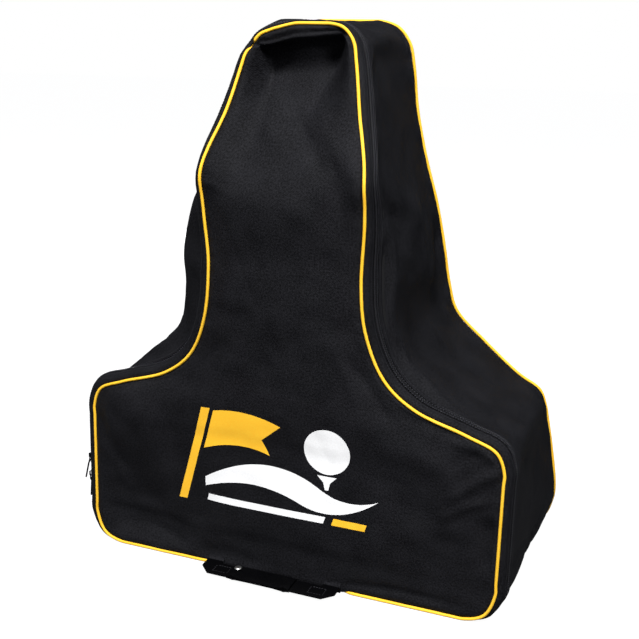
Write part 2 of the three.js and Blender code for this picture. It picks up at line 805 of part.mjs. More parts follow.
// Pull in its own frame: it hangs along Y from its pin at the origin, and its leaf lies to a side
function pullGeometry(aside) {
  const eyeEnd = pullPinHalf + pullEyeLength;
  const headEnd = eyeEnd + pullHeadEnd;
  const leaf = pullLeafWidth / 2;
  const centre = aside * pullSideStep;
  const shape = outline([
    [-pullHeadWidth / 2, -pullPinHalf],
    [-pullHeadWidth / 2, headEnd],
    [centre - leaf, headEnd + pullNeck],
    [centre - leaf, pullLength - leaf],
    [centre - leaf / 2, pullLength],
    [centre + leaf / 2, pullLength],
    [centre + leaf, pullLength - leaf],
    [centre + leaf, headEnd + pullNeck],
    [pullHeadWidth / 2, headEnd],
    [pullHeadWidth / 2, -pullPinHalf],
  ]);
  const eye = pullEyeWidth / 2;
  shape.holes.push(
    new THREE.Path(
      [
        [-eye, pullPinHalf],
        [eye, pullPinHalf],
        [eye, eyeEnd],
        [-eye, eyeEnd],
      ].map(([across, up]) => new THREE.Vector2(across, up)),
    ),
  );
  return extruded(shape, pullThickness).translate(0, 0, -pullThickness / 2);
}

// Frame of the zip at a share of the straight left run, turned so that Z points out of the cloth
function zipFrame(share) {
  const row = mix(straightLowRow, straightHighRow, share);
  const column = withCut(sideColumn(-1, row));
  const place = cutPoint(column, flareLength(column) + sliderSet);
  const frame = new THREE.Group();
  frame.position.copy(place).setZ(mix(straightLow, straightHigh, share));
  frame.rotation.set(-Math.PI / 2, 0, Math.PI / 2, "ZXY");
  part.add(frame);
  return frame;
}

const pinHeight = fitGap - coilTop + sliderPlate + pullHingeRise;
for (const { name, share, wide, lean, aside } of [upperSlider, lowerSlider]) {
  const frame = zipFrame(share);
  addMesh(`${name}_slider`, sliderGeometry(wide), "gunmetal", frame);
  const pull = addMesh(`${name}_pull`, pullGeometry(aside), "gunmetal", frame);
  pull.position.set(0, pullHingeDrop, pinHeight);
  pull.rotation.x = THREE.MathUtils.degToRad(lean);
}

// Anchors: the strap's ends sewn on the front, stepped over the piping at the foot
const anchorFace = (height) => frontDepth(height) - fitGap;
const anchorOver = frontDepth(hingeHeight) - pipingRadius - fitGap;
const anchorProfile = outline([
  [anchorOver, anchorFoot],
  [anchorOver, anchorStepHeight - anchorStepDrop],
  [anchorFace(anchorStepHeight), anchorStepHeight],
  [anchorFace(anchorHeight), anchorHeight],
  [anchorFace(anchorHeight) - strapThickness, anchorHeight],
  [anchorFace(anchorStepHeight) - strapThickness, anchorStepHeight],
  [anchorOver - strapThickness, anchorStepHeight - anchorStepDrop],
  [anchorOver - strapThickness, anchorFoot],
]);
for (const [name, side] of [["right", 1], ["left", -1]]) {
  const inner = handleCentre + (side * handleSpan) / 2 - (side * strapWidth) / 2;
  const geometry = extruded(anchorProfile, strapWidth)
    .translate(0, 0, -strapWidth / 2)
    .rotateX(Math.PI / 2)
    .rotateZ(Math.PI / 2)
    .translate(inner, 0, 0);
  addMesh(`handle_anchor_${name}`, geometry, "webbing");
}

// Handle in its own frame: X along the bag, Y out from the hinge line and Z through the strap
const handle = new THREE.Group();
const hingeDepth = anchorOver - strapThickness - fitGap - strapThickness / 2;
handle.position.set(handleCentre, hingeDepth, hingeHeight);
const bandMiddle = handleReach - handleBand / 2;
handle.rotation.x = THREE.MathUtils.degToRad(handleDroop);
part.add(handle);

const halfSpan = handleSpan / 2;
const armInner = halfSpan - strapWidth;
const bandInner = handleReach - handleBand;
const strapOutline = outline([
  [-halfSpan, 0],
  [-halfSpan, -(handleReach - handleChamfer)],
  [-halfSpan + handleChamfer, -handleReach],
  [halfSpan - handleChamfer, -handleReach],
  [halfSpan, -(handleReach - handleChamfer)],
  [halfSpan, 0],
  [armInner, 0],
  [armInner, -bandInner],
  [-armInner, -bandInner],
  [-armInner, 0],
]);
const strapSheet = toSolid(extruded(strapOutline, strapThickness).translate(0, 0, -strapThickness / 2));
const strapFolds = [-1, 1].map((side) =>
  toSolid(
    new THREE.CylinderGeometry(strapThickness / 2, strapThickness / 2, strapWidth, 12)
      .rotateZ(Math.PI / 2)
      .translate(side * (halfSpan - strapWidth / 2), 0, 0),
  ),
);
addMesh("handle_strap", fromSolid(strapSheet.add(strapFolds[0]).add(strapFolds[1])), "webbing", handle);

// Grip: a soft sleeve of flattened round section with a slot for the strap
const gripSides = 28;
const gripPower = 2.6;

function gripRing() {
  return Array.from({ length: gripSides }, (unused, side) => {
    const turn = (side / gripSides) * 2 * Math.PI;
    const round = (value) => Math.sign(value) * Math.abs(value) ** (2 / gripPower);
    return [(round(Math.cos(turn)) * gripWidth) / 2, (round(Math.sin(turn)) * gripThickness) / 2];
  });
}

const gripShape = outline(gripRing());
const slotWide = handleBand / 2 + fitGap;
const slotThick = strapThickness / 2 + fitGap;
gripShape.holes.push(
  new THREE.Path(
    [
      [-slotWide, -slotThick],
      [slotWide, -slotThick],
      [slotWide, slotThick],
      [-slotWide, slotThick],
    ].map(([across, up]) => new THREE.Vector2(across, up)),
  ),
);
const gripGeometry = extruded(gripShape, gripLength)
  .translate(0, 0, -gripLength / 2)
  .rotateX(Math.PI / 2)
  .rotateZ(Math.PI / 2)
  .translate(gripShift, -bandMiddle, 0);
addMesh("handle_grip", gripGeometry, "grip", handle);

// Press stud that closes the grip's wrap, near its left end
const studProfile = [
  [0, 0],
  [studRadius, 0],
  [studRadius, studHeight / 3],
  [(studRadius * 2) / 3, studHeight],
  [0, studHeight],
].map(([across, up]) => new THREE.Vector2(across, up));
const stud = new THREE.LatheGeometry(studProfile, 20)
  .rotateX(Math.PI / 2)
  .translate(gripShift - gripLength / 2 + studInset, -bandMiddle + studBack, gripThickness / 2 + fitGap);
addMesh("handle_stud", stud, "steel", handle);

// The origin is at the middle of the part's footprint, on the floor
part.updateMatrixWorld(true);
const bounds = new THREE.Box3().setFromObject(part, true);
const middle = bounds.getCenter(new THREE.Vector3());
part.position.set(-middle.x, -middle.y, -bounds.min.z);

export default part;
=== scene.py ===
"""Soft zip-up travel bag for a folding golf trolley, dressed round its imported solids.

Sizes are in millimetres and become metres where a mesh is made. Each cloth surface is a grid that
follows the same seam lines as the solids do, with its own folds, puckers and hems.
"""

import math

import bpy
import numpy as np
from mathutils import Matrix, Vector
from mathutils.bvhtree import BVHTree
from mathutils.geometry import delaunay_2d_cdt


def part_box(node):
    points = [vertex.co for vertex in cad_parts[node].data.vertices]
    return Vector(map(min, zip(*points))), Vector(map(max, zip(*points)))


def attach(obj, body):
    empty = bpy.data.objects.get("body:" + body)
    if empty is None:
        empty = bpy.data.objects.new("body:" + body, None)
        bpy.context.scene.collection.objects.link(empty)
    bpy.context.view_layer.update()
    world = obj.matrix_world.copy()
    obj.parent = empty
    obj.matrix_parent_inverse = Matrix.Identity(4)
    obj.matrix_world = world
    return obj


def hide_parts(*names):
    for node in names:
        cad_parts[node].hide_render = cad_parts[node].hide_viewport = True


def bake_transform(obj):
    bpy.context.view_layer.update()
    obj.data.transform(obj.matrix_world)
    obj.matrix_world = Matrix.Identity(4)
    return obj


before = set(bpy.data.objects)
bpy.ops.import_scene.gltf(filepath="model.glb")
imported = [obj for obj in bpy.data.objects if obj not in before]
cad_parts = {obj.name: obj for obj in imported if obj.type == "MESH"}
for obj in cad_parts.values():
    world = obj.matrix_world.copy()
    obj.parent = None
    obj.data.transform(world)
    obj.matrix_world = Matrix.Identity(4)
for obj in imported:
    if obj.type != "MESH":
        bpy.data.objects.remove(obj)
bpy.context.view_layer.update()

MM = 0.001
TINY = 1e-6

# Overall sizes, cloth and seams, as in the solids
HALF_WIDTH = 305
HEIGHT = 760
BASE_DEPTH = 346
TOP_DEPTH = 215
CLOTH = 2.0
CORD_RADIUS = 2.1
FLARE_LEFT = 18
FLARE_RIGHT = 13
STRIP_DEPTH = 18
CROWN_DEPTH = 46
FRONT_CROWN = 13
BACK_CROWN = 9
LEAN_REACH = 40
RIGHT_CROWN_SHARE = 0.54
ZIP_WINDOW = 12
SEAM_EDGE = 2.0

# Side line of the front seam, the crown behind the zip and the back seam, as shares of the half
# width and height, and how much of the flare the strip beside the front seam has there
SIDE_LINE = (
    ((0.82, 0), (0.86, 0), (0.846, 0), 0.14),
    ((0.955, 0.017), (1.01, 0.018), (1.01, 0.02), 0.6),
    ((1, 0.059), (1.069, 0.059), (1.059, 0.066), 1),
    ((1, 0.082), (1.069, 0.082), (1.066, 0.105), 1),
    ((1, 0.257), (1.069, 0.257), (1.013, 0.25), 1),
    ((1, 0.283), (1.069, 0.283), (0.997, 0.282), 1),
    ((0.964, 0.316), (1.023, 0.316), (0.964, 0.314), 0.95),
    ((0.836, 0.338), (0.902, 0.345), (0.859, 0.341), 0.8),
    ((0.6, 0.37), (0.695, 0.416), (0.675, 0.405), 0.85),
    ((0.466, 0.414), (0.59, 0.463), (0.531, 0.464), 1),
    ((0.384, 0.489), (0.562, 0.529), (0.492, 0.52), 1),
    ((0.357, 0.579), (0.57, 0.599), (0.462, 0.601), 1),
    ((0.37, 0.684), (0.512, 0.687), (0.423, 0.684), 0.8),
    ((0.367, 0.763), (0.416, 0.77), (0.37, 0.767), 0.6),
    ((0.302, 0.855), (0.377, 0.862), (0.328, 0.855), 0.8),
    ((0.259, 0.934), (0.318, 0.939), (0.311, 0.934), 0.7),
    ((0.236, 0.971), (0.279, 0.976), (0.291, 0.976), 0.5),
    ((0.19, 0.992), (0.213, 1), (0.237, 1.004), 0.35),
    ((0.125, 0.999), (0.138, 1.011), (0.15, 1.015), 0.3),
)
FOOT_ROW = 2
TOP_ROW = len(SIDE_LINE) - 1
FRONT, CROWN, BACK, FLARE = range(4)

# How far the front seam stands back at each height, as shares of the lean
LEAN = (
    (0, 0.1), (0.26, 0.1), (0.3, 0.1), (0.42, 0.02), (0.52, -0.16), (0.62, -0.24), (0.7, -0.42),
    (0.745, -0.6), (0.79, -0.3), (0.83, 0.06), (0.87, 0.36), (0.93, 0.7), (1.02, 1),
)

# The foot of the front seam, which places are counted from, found by the handle's two anchors
left_low, left_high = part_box("handle_anchor_left")
right_low, right_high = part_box("handle_anchor_right")
HANDLE_CENTRE = -10
ANCHOR_FRONT = -0.8
ORIGIN = np.array((
    (left_low.x + right_high.x) / 2 / MM - HANDLE_CENTRE,
    left_low.y / MM - ANCHOR_FRONT,
    0,
))


def curve_at(points, places):
    """Centripetal curve through rows of points, at places that count in points."""
    points = np.asarray(points, float)
    places = np.atleast_1d(np.asarray(places, float))
    ends = [2 * points[0] - points[1]], [2 * points[-1] - points[-2]]
    padded = np.vstack([ends[0], points, ends[1]])
    index = np.clip(np.floor(places).astype(int), 0, len(points) - 2)
    share = (places - index)[:, None]
    before, first, second, after = (padded[index + step] for step in range(4))

    def reach(a, b):
        return np.maximum(np.linalg.norm(b - a, axis=1, keepdims=True) ** 0.5, TINY)

    gap_0, gap_1, gap_2 = reach(before, first), reach(first, second), reach(second, after)
    run = (second - first) / gap_1
    leave = ((first - before) / gap_0 - (second - before) / (gap_0 + gap_1) + run) * gap_1
    arrive = (run - (after - first) / (gap_1 + gap_2) + (after - second) / gap_2) * gap_1
    square = 3 * (second - first) - 2 * leave - arrive
    cube = 2 * (first - second) + leave + arrive
    return first + leave * share + square * share**2 + cube * share**3


def smooth(share):
    share = np.clip(share, 0, 1)
    return share * share * (3 - 2 * share)


def mix(low, high, share):
    return low + (high - low) * share


def unit(ways):
    return ways / np.linalg.norm(ways, axis=-1, keepdims=True)


def running(line):
    """Lengths along a line of places, counted from its start."""
    return np.concatenate([[0], np.cumsum(np.linalg.norm(np.diff(line, axis=0), axis=1))])


def upright(flat, depth):
    """Places across and up, stood at a depth."""
    return np.stack([flat[:, 0], depth, flat[:, 1]], 1)


def grid_map(along, across):
    return np.stack(np.broadcast_arrays(along, across), -1)


def hump(value, centre, reach):
    return np.exp(-(((value - centre) / reach) ** 2))


def quads(index):
    """Four corners for each cell of a grid of vertex numbers."""
    return np.stack([index[:-1, :-1], index[1:, :-1], index[1:, 1:], index[:-1, 1:]], -1).reshape(-1, 4)


def placed(name, data):
    item = bpy.data.objects.new(name, data)
    bpy.context.scene.collection.objects.link(item)
    return item


def pick(piece):
    bpy.ops.object.select_all(action="DESELECT")
    bpy.context.view_layer.objects.active = piece
    piece.select_set(True)


lean_points = [(height * HEIGHT, lean * LEAN_REACH) for height, lean in LEAN]
lean_line = curve_at(lean_points, np.linspace(0, len(LEAN) - 1, 400))


def front_depth(height):
    return np.interp(height, lean_line[:, 0], lean_line[:, 1])


def back_depth(height):
    return mix(BASE_DEPTH, TOP_DEPTH, np.asarray(height) / HEIGHT)


def outline_points(which):
    rows = [row[which] for row in SIDE_LINE]
    ends = [(across / 2, up) for across, up in (rows[0], rows[-1])]
    return np.array([ends[0], *rows, ends[1]]) * (HALF_WIDTH, HEIGHT)


OUTLINES = [outline_points(which) for which in (FRONT, CROWN, BACK)]


def outline_place(which, rows, side):
    place = curve_at(OUTLINES[which], np.asarray(rows) + 1)
    floor = 0 if which == CROWN else CORD_RADIUS
    return np.stack([side * place[:, 0], np.maximum(place[:, 1], floor)], 1)


def outline_normal(which, rows, side):
    rows = np.asarray(rows, float)
    step = 0.02
    along = curve_at(OUTLINES[which], rows + 1 + step) - curve_at(OUTLINES[which], rows + 1 - step)
    along = unit(along)
    return np.stack([side * along[:, 1], -along[:, 0]], 1)


SQUARE_ROWS = 0.05
COLUMN_KEYS = ("front", "crown", "back", "front_normal", "back_normal", "flare", "level")


def side_columns(side, rows):
    """Seam places beside one another up one side, for rows counted in the side line."""
    rows = np.asarray(rows, float)
    level = np.clip(1 - rows / FOOT_ROW, 0, 1)
    square = (rows < SQUARE_ROWS)[:, None]
    front = outline_place(FRONT, rows, side)
    full = outline_place(CROWN, rows, side)
    crown_share = np.ones(len(rows)) if side < 0 else mix(RIGHT_CROWN_SHARE, 1, level)
    flare = np.interp(rows, range(len(SIDE_LINE)), [row[FLARE] for row in SIDE_LINE])
    down = np.array([[0.0, -1.0]])
    return {
        "front": front,
        "crown": front + (full - front) * crown_share[:, None],
        "back": outline_place(BACK, rows, side),
        "front_normal": np.where(square, down, outline_normal(FRONT, rows, side)),
        "back_normal": np.where(square, down, outline_normal(BACK, rows, side)),
        "flare": flare * (FLARE_LEFT if side < 0 else FLARE_RIGHT),
        "level": level,
    }


def level_columns(row, normal, shares):
    """Columns from left to right between the two sides at one row."""
    left, right = side_columns(-1, [row]), side_columns(1, [row])
    place = ((np.asarray(shares) + 1) / 2)[:, None]
    columns = {}
    for key in COLUMN_KEYS:
        low, high = left[key][0], right[key][0]
        spread = mix(np.atleast_1d(low)[None], np.atleast_1d(high)[None], place)
        columns[key] = spread[:, 0] if np.ndim(low) == 0 else spread
    columns["front_normal"] = np.repeat(np.array([normal], float), len(shares), 0)
    columns["back_normal"] = columns["front_normal"].copy()
    return columns


def seam_of(columns, which):
    """Places of the front or back seam, the ways out from it, and its depths."""
    key, depth = ("front", front_depth) if which == FRONT else ("back", back_depth)
    return columns[key], columns[f"{key}_normal"], depth(columns[key][:, 1])


def chain(*parts):
    return {key: np.concatenate([part[key] for part in parts]) for key in COLUMN_KEYS}


def arch_columns(low_row, per_row=7, top_steps=34):
    """Columns up the right side, over the top and down the left side."""
    rows = np.linspace(low_row, TOP_ROW, int((TOP_ROW - low_row) * per_row) + 1)
    shares = np.linspace(-1, 1, top_steps)[1:-1][::-1]
    up = side_columns(1, rows)
    down = side_columns(-1, rows[::-1])
    return chain(up, level_columns(TOP_ROW, (0, 1), shares), down)


FLARE_STEPS = 16
SWELL_STEPS = 14
FALL_STEPS = 28
LEVEL_REACH = 0.9
CUT_REACH = 1.2


def with_cut(columns):
    """Adds each column's line from the front seam to the back seam, and lengths along it."""
    depth = front_depth(columns["front"][:, 1])
    out = columns["front"] + columns["front_normal"] * columns["flare"][:, None]
    back_y = back_depth(columns["back"][:, 1])
    lines = []

    def put(place, y):
        lines.append(upright(np.maximum(place, (-np.inf, 0)), y))

    for step in range(FLARE_STEPS + 1):
        turn = step / FLARE_STEPS * math.pi / 2
        place = mix(columns["front"], out, math.sin(turn))
        put(place, depth + STRIP_DEPTH * (1 - math.cos(turn)))
    for step in range(1, SWELL_STEPS + 1):
        share = step / SWELL_STEPS
        put(mix(out, columns["crown"], float(smooth(share))), depth + mix(STRIP_DEPTH, CROWN_DEPTH, share))
    level = LEVEL_REACH * columns["level"]
    for step in range(1, FALL_STEPS + 1):
        share = step / FALL_STEPS
        fall = np.maximum(0, (share - level) / (1 - level)) ** 2
        place = mix(columns["crown"], columns["back"], fall[:, None])
        put(place, mix(depth + CROWN_DEPTH, back_y, share))
    cut = np.stack(lines, 1)
    steps = np.linalg.norm(np.diff(cut, axis=1), axis=2)
    lengths = np.concatenate([np.zeros((len(cut), 1)), np.cumsum(steps, 1)], 1)
    return {
        **columns, "cut": cut, "lengths": lengths, "total": lengths[:, -1], "zip": lengths[:, FLARE_STEPS],
    }


def cut_points(columns, wanted):
    """Points on each column's line at the wanted lengths, one row of lengths for each column."""
    found = np.empty(wanted.shape + (3,))
    for index, (line, lengths) in enumerate(zip(columns["cut"], columns["lengths"])):
        for axis in range(3):
            found[index, :, axis] = np.interp(wanted[index], lengths, line[:, axis])
    return found


def cloth_surface(columns, wanted):
    """Places and outward normals of the gusset's outer face."""
    places = cut_points(columns, wanted)
    across = cut_points(columns, np.minimum(wanted + CUT_REACH, columns["total"][:, None]))
    across -= cut_points(columns, np.maximum(wanted - CUT_REACH, 0))
    return places, unit(np.cross(across, np.gradient(places, axis=0)))


def spans(low, high, step):
    return np.linspace(low, high, max(2, int(math.ceil((high - low) / step)) + 1))


# Main folds, which the solids have too: start and end as shares of the half width, base depth and
# height, then the reach and depth as shares of a fold's own. Below zero is a ridge.
MAIN_FOLDS = (
    ((0.41, 0.05, 0.709), (0.46, 0.2, 0.655), 0.9, 1.1),
    ((0.44, 0.2, 0.6), (0.47, 0.56, 0.56), 1.2, -0.7),
    ((0.47, 0.74, 0.615), (0.49, 0.62, 0.52), 1, 1.1),
    ((0.56, 0.25, 0.46), (0.72, 0.55, 0.4), 1.1, 0.8),
    ((-0.47, 0.16, 0.735), (-0.44, 0.56, 0.67), 1.1, 0.9),
    ((-0.52, 0.2, 0.55), (-0.56, 0.5, 0.47), 1.2, 0.8),
    ((1.02, 0.25, 0.27), (1.04, 0.6, 0.2), 1.2, 0.8),
    ((-1.04, 0.25, 0.25), (-1.03, 0.6, 0.19), 1.2, 0.8),
    ((0, -0.02, 0.842), (0.2, -0.07, 0.768), 0.75, 0.45),
    ((-0.14, -0.02, 0.85), (0.16, -0.06, 0.735), 0.75, -0.5),
    ((-0.16, -0.06, 0.765), (0.24, -0.07, 0.735), 1.4, 1),
)
FOLD_REACH = 24
FOLD_DEPTH = 6
FOLD_FADE = 30


def main_press(places):
    """How far the main folds press each place in."""
    flat = places.reshape(-1, 3)
    total = np.zeros(len(flat))
    for start, end, reach, depth in MAIN_FOLDS:
        start, end = (np.array(place) * (HALF_WIDTH, BASE_DEPTH, HEIGHT) for place in (start, end))
        line = end - start
        share = np.clip((flat - start) @ line / (line @ line), 0, 1)
        distance = np.linalg.norm(flat - start - share[:, None] * line, axis=1) / (reach * FOLD_REACH)
        total += depth * FOLD_DEPTH * np.exp(-(distance**2))
    return total.reshape(places.shape[:-1])


# Small creases: start, end, half width and depth of each in millimetres
FOLDS = (
    ((-6, -3, 648), (20, -15, 614), 10, 2.0),
    ((14, -13, 624), (50, -25, 578), 12, 3.2),
    ((36, -12, 650), (82, -22, 582), 13, -2.8),
    ((-36, -10, 626), (12, -22, 572), 14, -2.2),
    ((82, -16, 626), (104, -24, 540), 9, -2.6),
    ((70, -24, 590), (96, -26, 470), 8, 2.0),
    ((-88, -18, 620), (-30, -24, 572), 18, 2.0),
    ((-60, -20, 600), (40, -26, 520), 22, -2.4),
    ((0, -20, 560), (84, -24, 500), 20, 2.0),
    ((-190, 0, 210), (-120, -2, 60), 34, 3.0),
    ((-262, 0, 224), (-236, 0, 90), 30, 2.4),
    ((-206, 0, 236), (-190, 0, 120), 24, -2.2),
    ((150, 0, 226), (236, 0, 196), 20, -2.4),
    ((120, 0, 180), (226, 0, 120), 22, 2.2),
    ((150, 0, 90), (250, 0, 128), 20, -2.2),
    ((-108, -22, 566), (-72, -26, 553), 4, 2.6),
    ((-104, -22, 556), (-60, -26, 540), 6, -1.4),
    ((-60, -22, 548), (-20, -26, 534), 5, 1.3),
    ((-92, 4, 640), (-60, 4, 690), 9, 1.8),
    ((-292, 4, 196), (-262, 0, 128), 15, 2.6),
    ((-272, 2, 214), (-228, 0, 176), 14, 1.8),
    ((-286, 4, 150), (-250, 2, 92), 11, -2),
    ((-272, 4, 52), (-162, 2, 24), 10, 3),
    ((-236, 4, 66), (-120, 2, 44), 13, -1.7),
    ((-125, 4, 12), (-42, 4, 17), 16, 3.2),
    ((100, 2, 14), (222, 2, 20), 7, 3),
    ((120, 2, 40), (262, 2, 36), 12, -1.5),
    ((296, 3, 214), (244, 0, 172), 10, -5.2),
    ((280, 3, 172), (232, 0, 142), 8, -3.4),
    ((276, 3, 236), (240, 0, 214), 8, 1.8),
    ((292, 3, 230), (242, 0, 248), 9, -4),
    ((291, 3, 142), (291, 0, 84), 9, 6.5),
    ((-96, -6, 330), (-150, -2, 262), 8, 2),
    ((-72, -10, 322), (-118, -6, 236), 9, -1.5),
    ((104, -6, 326), (152, -2, 262), 8, 2.2),
    ((82, -10, 336), (120, -6, 250), 9, -1.6),
    ((-40, -12, 452), (70, -14, 420), 13, 1),
    ((-66, -10, 400), (40, -12, 372), 15, -1),
    ((-250, 0, 262), (-190, -4, 268), 9, 1.4),
    ((180, -2, 268), (258, 0, 246), 9, 1.4),
    ((122, 24, 546), (134, 60, 520), 7, 3.6),
    ((130, 50, 524), (146, 130, 512), 7, 3.0),
    ((128, 30, 500), (150, 120, 484), 11, -2.0),
    ((134, 130, 524), (148, 196, 424), 32, -5.5),
    ((136, 40, 462), (150, 120, 430), 9, 2.4),
    ((136, 180, 520), (146, 200, 440), 10, 3.2),
    ((136, 150, 500), (146, 160, 440), 8, -2.2),
    ((140, 250, 470), (150, 205, 404), 7, 2.2),
    ((134, 60, 420), (150, 170, 430), 8, -1.5),
    ((120, 90, 610), (136, 200, 590), 9, 1.6),
    ((104, 60, 676), (118, 170, 650), 9, -1.5),
    ((150, 50, 376), (196, 130, 340), 9, 1.8),
    ((190, 60, 330), (236, 180, 310), 9, -1.6),
    ((306, 60, 214), (316, 150, 180), 9, 1.8),
    ((314, 90, 120), (318, 190, 100), 10, -1.5),
    ((314, 60, 66), (318, 200, 48), 9, 1.6),
    ((-158, 60, 400), (-176, 170, 350), 9, 2),
    ((-206, 40, 318), (-262, 150, 288), 8, 2),
    ((-320, 60, 96), (-320, 190, 74), 10, -1.5),
    ((-60, 120, 764), (50, 150, 764), 10, 1.5),
)


FOLD_TAIL = 0.3
FOLD_TAIL_FADE = 0.45
FOLD_BOW = 0.5
FOLD_BANK = 0.35


def fold_offset(places):
    """How far the small creases press each place in. Each bows a little and fades at its ends."""
    flat = places.reshape(-1, 3)
    total = np.zeros(len(flat))
    for start, end, width, depth in FOLDS:
        start, end = np.array(start, float), np.array(end, float)
        line = end - start
        share = np.clip((flat - start) @ line / (line @ line), -FOLD_TAIL, 1 + FOLD_TAIL)
        gap = flat - start - share[:, None] * line
        gap[:, 2] -= np.sin(np.clip(share, 0, 1) * math.pi) * width * FOLD_BOW
        reach = np.linalg.norm(gap, axis=1) / width
        ends = smooth((share + FOLD_TAIL) / FOLD_TAIL_FADE), smooth((1 + FOLD_TAIL - share) / FOLD_TAIL_FADE)
        total += depth * ends[0] * ends[1] * (1 - FOLD_BANK * reach**2) * np.exp(-(reach**2))
    return total.reshape(places.shape[:-1])


CRUMPLE_WAVES, CRUMPLE_SCALE = 6, 2.2
RIPPLE_WAVES, RIPPLE_SCALE = 7, 3.2
MEAN_SINE = 0.64


def crumple(places, length, seed):
    """Faint creases where the cloth has been folded away: narrow valleys between wandering lines."""
    made = np.random.default_rng(seed)
    total = np.zeros(places.shape[:-1])
    for _ in range(CRUMPLE_WAVES):
        way, aside = unit(made.normal(size=(2, 3)))
        size = length * made.uniform(0.7, 1.6)
        wander = 1.6 * np.sin(places @ aside * 2.2 / size + made.uniform(0, 6.3))
        mask = 0.5 + 0.5 * np.sin(places @ aside * 1.3 / length + made.uniform(0, 6.3))
        total += mask**2 * (MEAN_SINE - np.abs(np.sin(places @ way * math.pi / size + wander)))
    return total / CRUMPLE_SCALE


def ripple(places, length, seed):
    """Slow even waves in the cloth, from sines in a few fixed directions."""
    made = np.random.default_rng(seed)
    total = np.zeros(places.shape[:-1])
    for _ in range(RIPPLE_WAVES):
        way = unit(made.normal(size=3))
        size = length * made.uniform(0.6, 1.7)
        bend = made.uniform(0, 2 * math.pi)
        total += np.sin((places @ way) * 2 * math.pi / size + bend + 0.6 * np.sin(places[..., 2] / size))
    return total / RIPPLE_SCALE


PUCKER_LENGTH = 13
PUCKER_FADE = 7
PUCKER_DEPTH = 0.28
PUCKER_WAVES = 4
SEAM_DIP, SEAM_DIP_REACH = 1.5, 2.6
BANK_RISE, BANK_AT, BANK_REACH = 0.7, 7.5, 4
HEM_RADIUS = 1.0


def seam_pucker(along, distance, seed):
    """The cloth dips into a seam, stands up just beside it, and puckers along its stitches."""
    made = np.random.default_rng(seed)
    wave = np.zeros(np.broadcast(along, distance).shape)
    for _ in range(PUCKER_WAVES):
        size = PUCKER_LENGTH * made.uniform(0.7, 1.9)
        wave += np.sin(along * 2 * math.pi / size + made.uniform(0, 6.3))
    dip = SEAM_DIP * hump(distance, 0, SEAM_DIP_REACH) - BANK_RISE * hump(distance, BANK_AT, BANK_REACH)
    return dip + PUCKER_DEPTH * wave * np.exp(-distance / PUCKER_FADE) * np.clip(distance / 2, 0, 1)


def hem_sink(distance):
    """How far the folded edge of a cloth rounds off at a distance from its end."""
    inside = np.clip(HEM_RADIUS - distance, 0, HEM_RADIUS)
    return HEM_RADIUS - np.sqrt(HEM_RADIUS**2 - inside**2 + 1e-9)


def sample(grid, rows, columns):
    """Smooth values of a coarse grid at fractional places."""

    def weights(share):
        s = share
        return np.stack([
            -0.5 * s + s**2 - 0.5 * s**3,
            1 - 2.5 * s**2 + 1.5 * s**3,
            0.5 * s + 2 * s**2 - 1.5 * s**3,
            -0.5 * s**2 + 0.5 * s**3,
        ])

    padded = np.pad(grid, ((1, 2), (1, 2), (0, 0)), mode="edge")
    low_row = np.clip(np.floor(rows).astype(int), 0, grid.shape[0] - 2)
    low_column = np.clip(np.floor(columns).astype(int), 0, grid.shape[1] - 2)
    row_weights, column_weights = weights(rows - low_row), weights(columns - low_column)
    total = 0
    for i in range(4):
        for j in range(4):
            share = (row_weights[i] * column_weights[j])[..., None]
            total = total + share * padded[low_row + i, low_column + j]
    return total


CLOTH_SETTINGS = {
    "quality": 6, "mass": 0.25, "tension_stiffness": 14, "compression_stiffness": 14, "shear_stiffness": 6,
    "bending_stiffness": 0.7, "air_damping": 3, "use_pressure": True, "vertex_group_mass": "held",
}


def loosen(places, pinned, slack, pressure, cap, frames=24):
    """Runs cloth over a coarse grid held along its pinned places, and returns how far each moved."""
    rows, columns = places.shape[:2]
    index = np.arange(rows * columns).reshape(rows, columns)
    mesh = bpy.data.meshes.new("loose_cloth")
    mesh.from_pydata((places.reshape(-1, 3) * MM).tolist(), [], quads(index).tolist())
    cloth = placed("loose_cloth", mesh)
    group = cloth.vertex_groups.new(name="held")
    group.add([int(i) for i in index[pinned]], 1.0, "ADD")
    modifier = cloth.modifiers.new("cloth", "CLOTH")
    settings = modifier.settings
    for key, value in CLOTH_SETTINGS.items():
        setattr(settings, key, value)
    settings.shrink_min = -slack
    settings.uniform_pressure_force = pressure
    settings.effector_weights.gravity = 0.0
    modifier.collision_settings.use_collision = False
    scene = bpy.context.scene
    for step in range(1, frames + 1):
        scene.frame_set(step)
    graph = bpy.context.evaluated_depsgraph_get()
    seen = cloth.evaluated_get(graph).to_mesh()
    moved = np.empty(len(seen.vertices) * 3)
    seen.vertices.foreach_get("co", moved)
    cloth.evaluated_get(graph).to_mesh_clear()
    bpy.data.objects.remove(cloth)
    bpy.data.meshes.remove(mesh)
    scene.frame_set(1)
    offset = moved.reshape(rows, columns, 3) / MM - places
    length = np.linalg.norm(offset, axis=2, keepdims=True)
    return offset * np.minimum(1, cap / np.maximum(length, TINY))


PINCH = np.array((-73, 30, 741))
PINCH_REACH = 15
DROOP_REACH = 52
CORNER_DROOP = 9
DROOP_START, DROOP_LOW, DROOP_RISE, DROOP_DEPTH = 2, 712, 34, 34
PINCH_PULL = np.array((1.5, 3, 0))


def pinched(points):
    """Draws the front's top left corner in, where the lip's crease meets the seam."""
    share = np.exp(-(np.linalg.norm((points - PINCH) / (1, 1.6, 1), axis=-1) / PINCH_REACH) ** 2)
    droop = smooth((-points[..., 0] - DROOP_START) / DROOP_REACH)
    droop *= smooth((points[..., 2] - DROOP_LOW) / DROOP_RISE) * hump(points[..., 1], PINCH[1], DROOP_DEPTH)
    lowered = points + share[..., None] * PINCH_PULL
    lowered[..., 2] -= CORNER_DROOP * droop
    return lowered


# Meshes

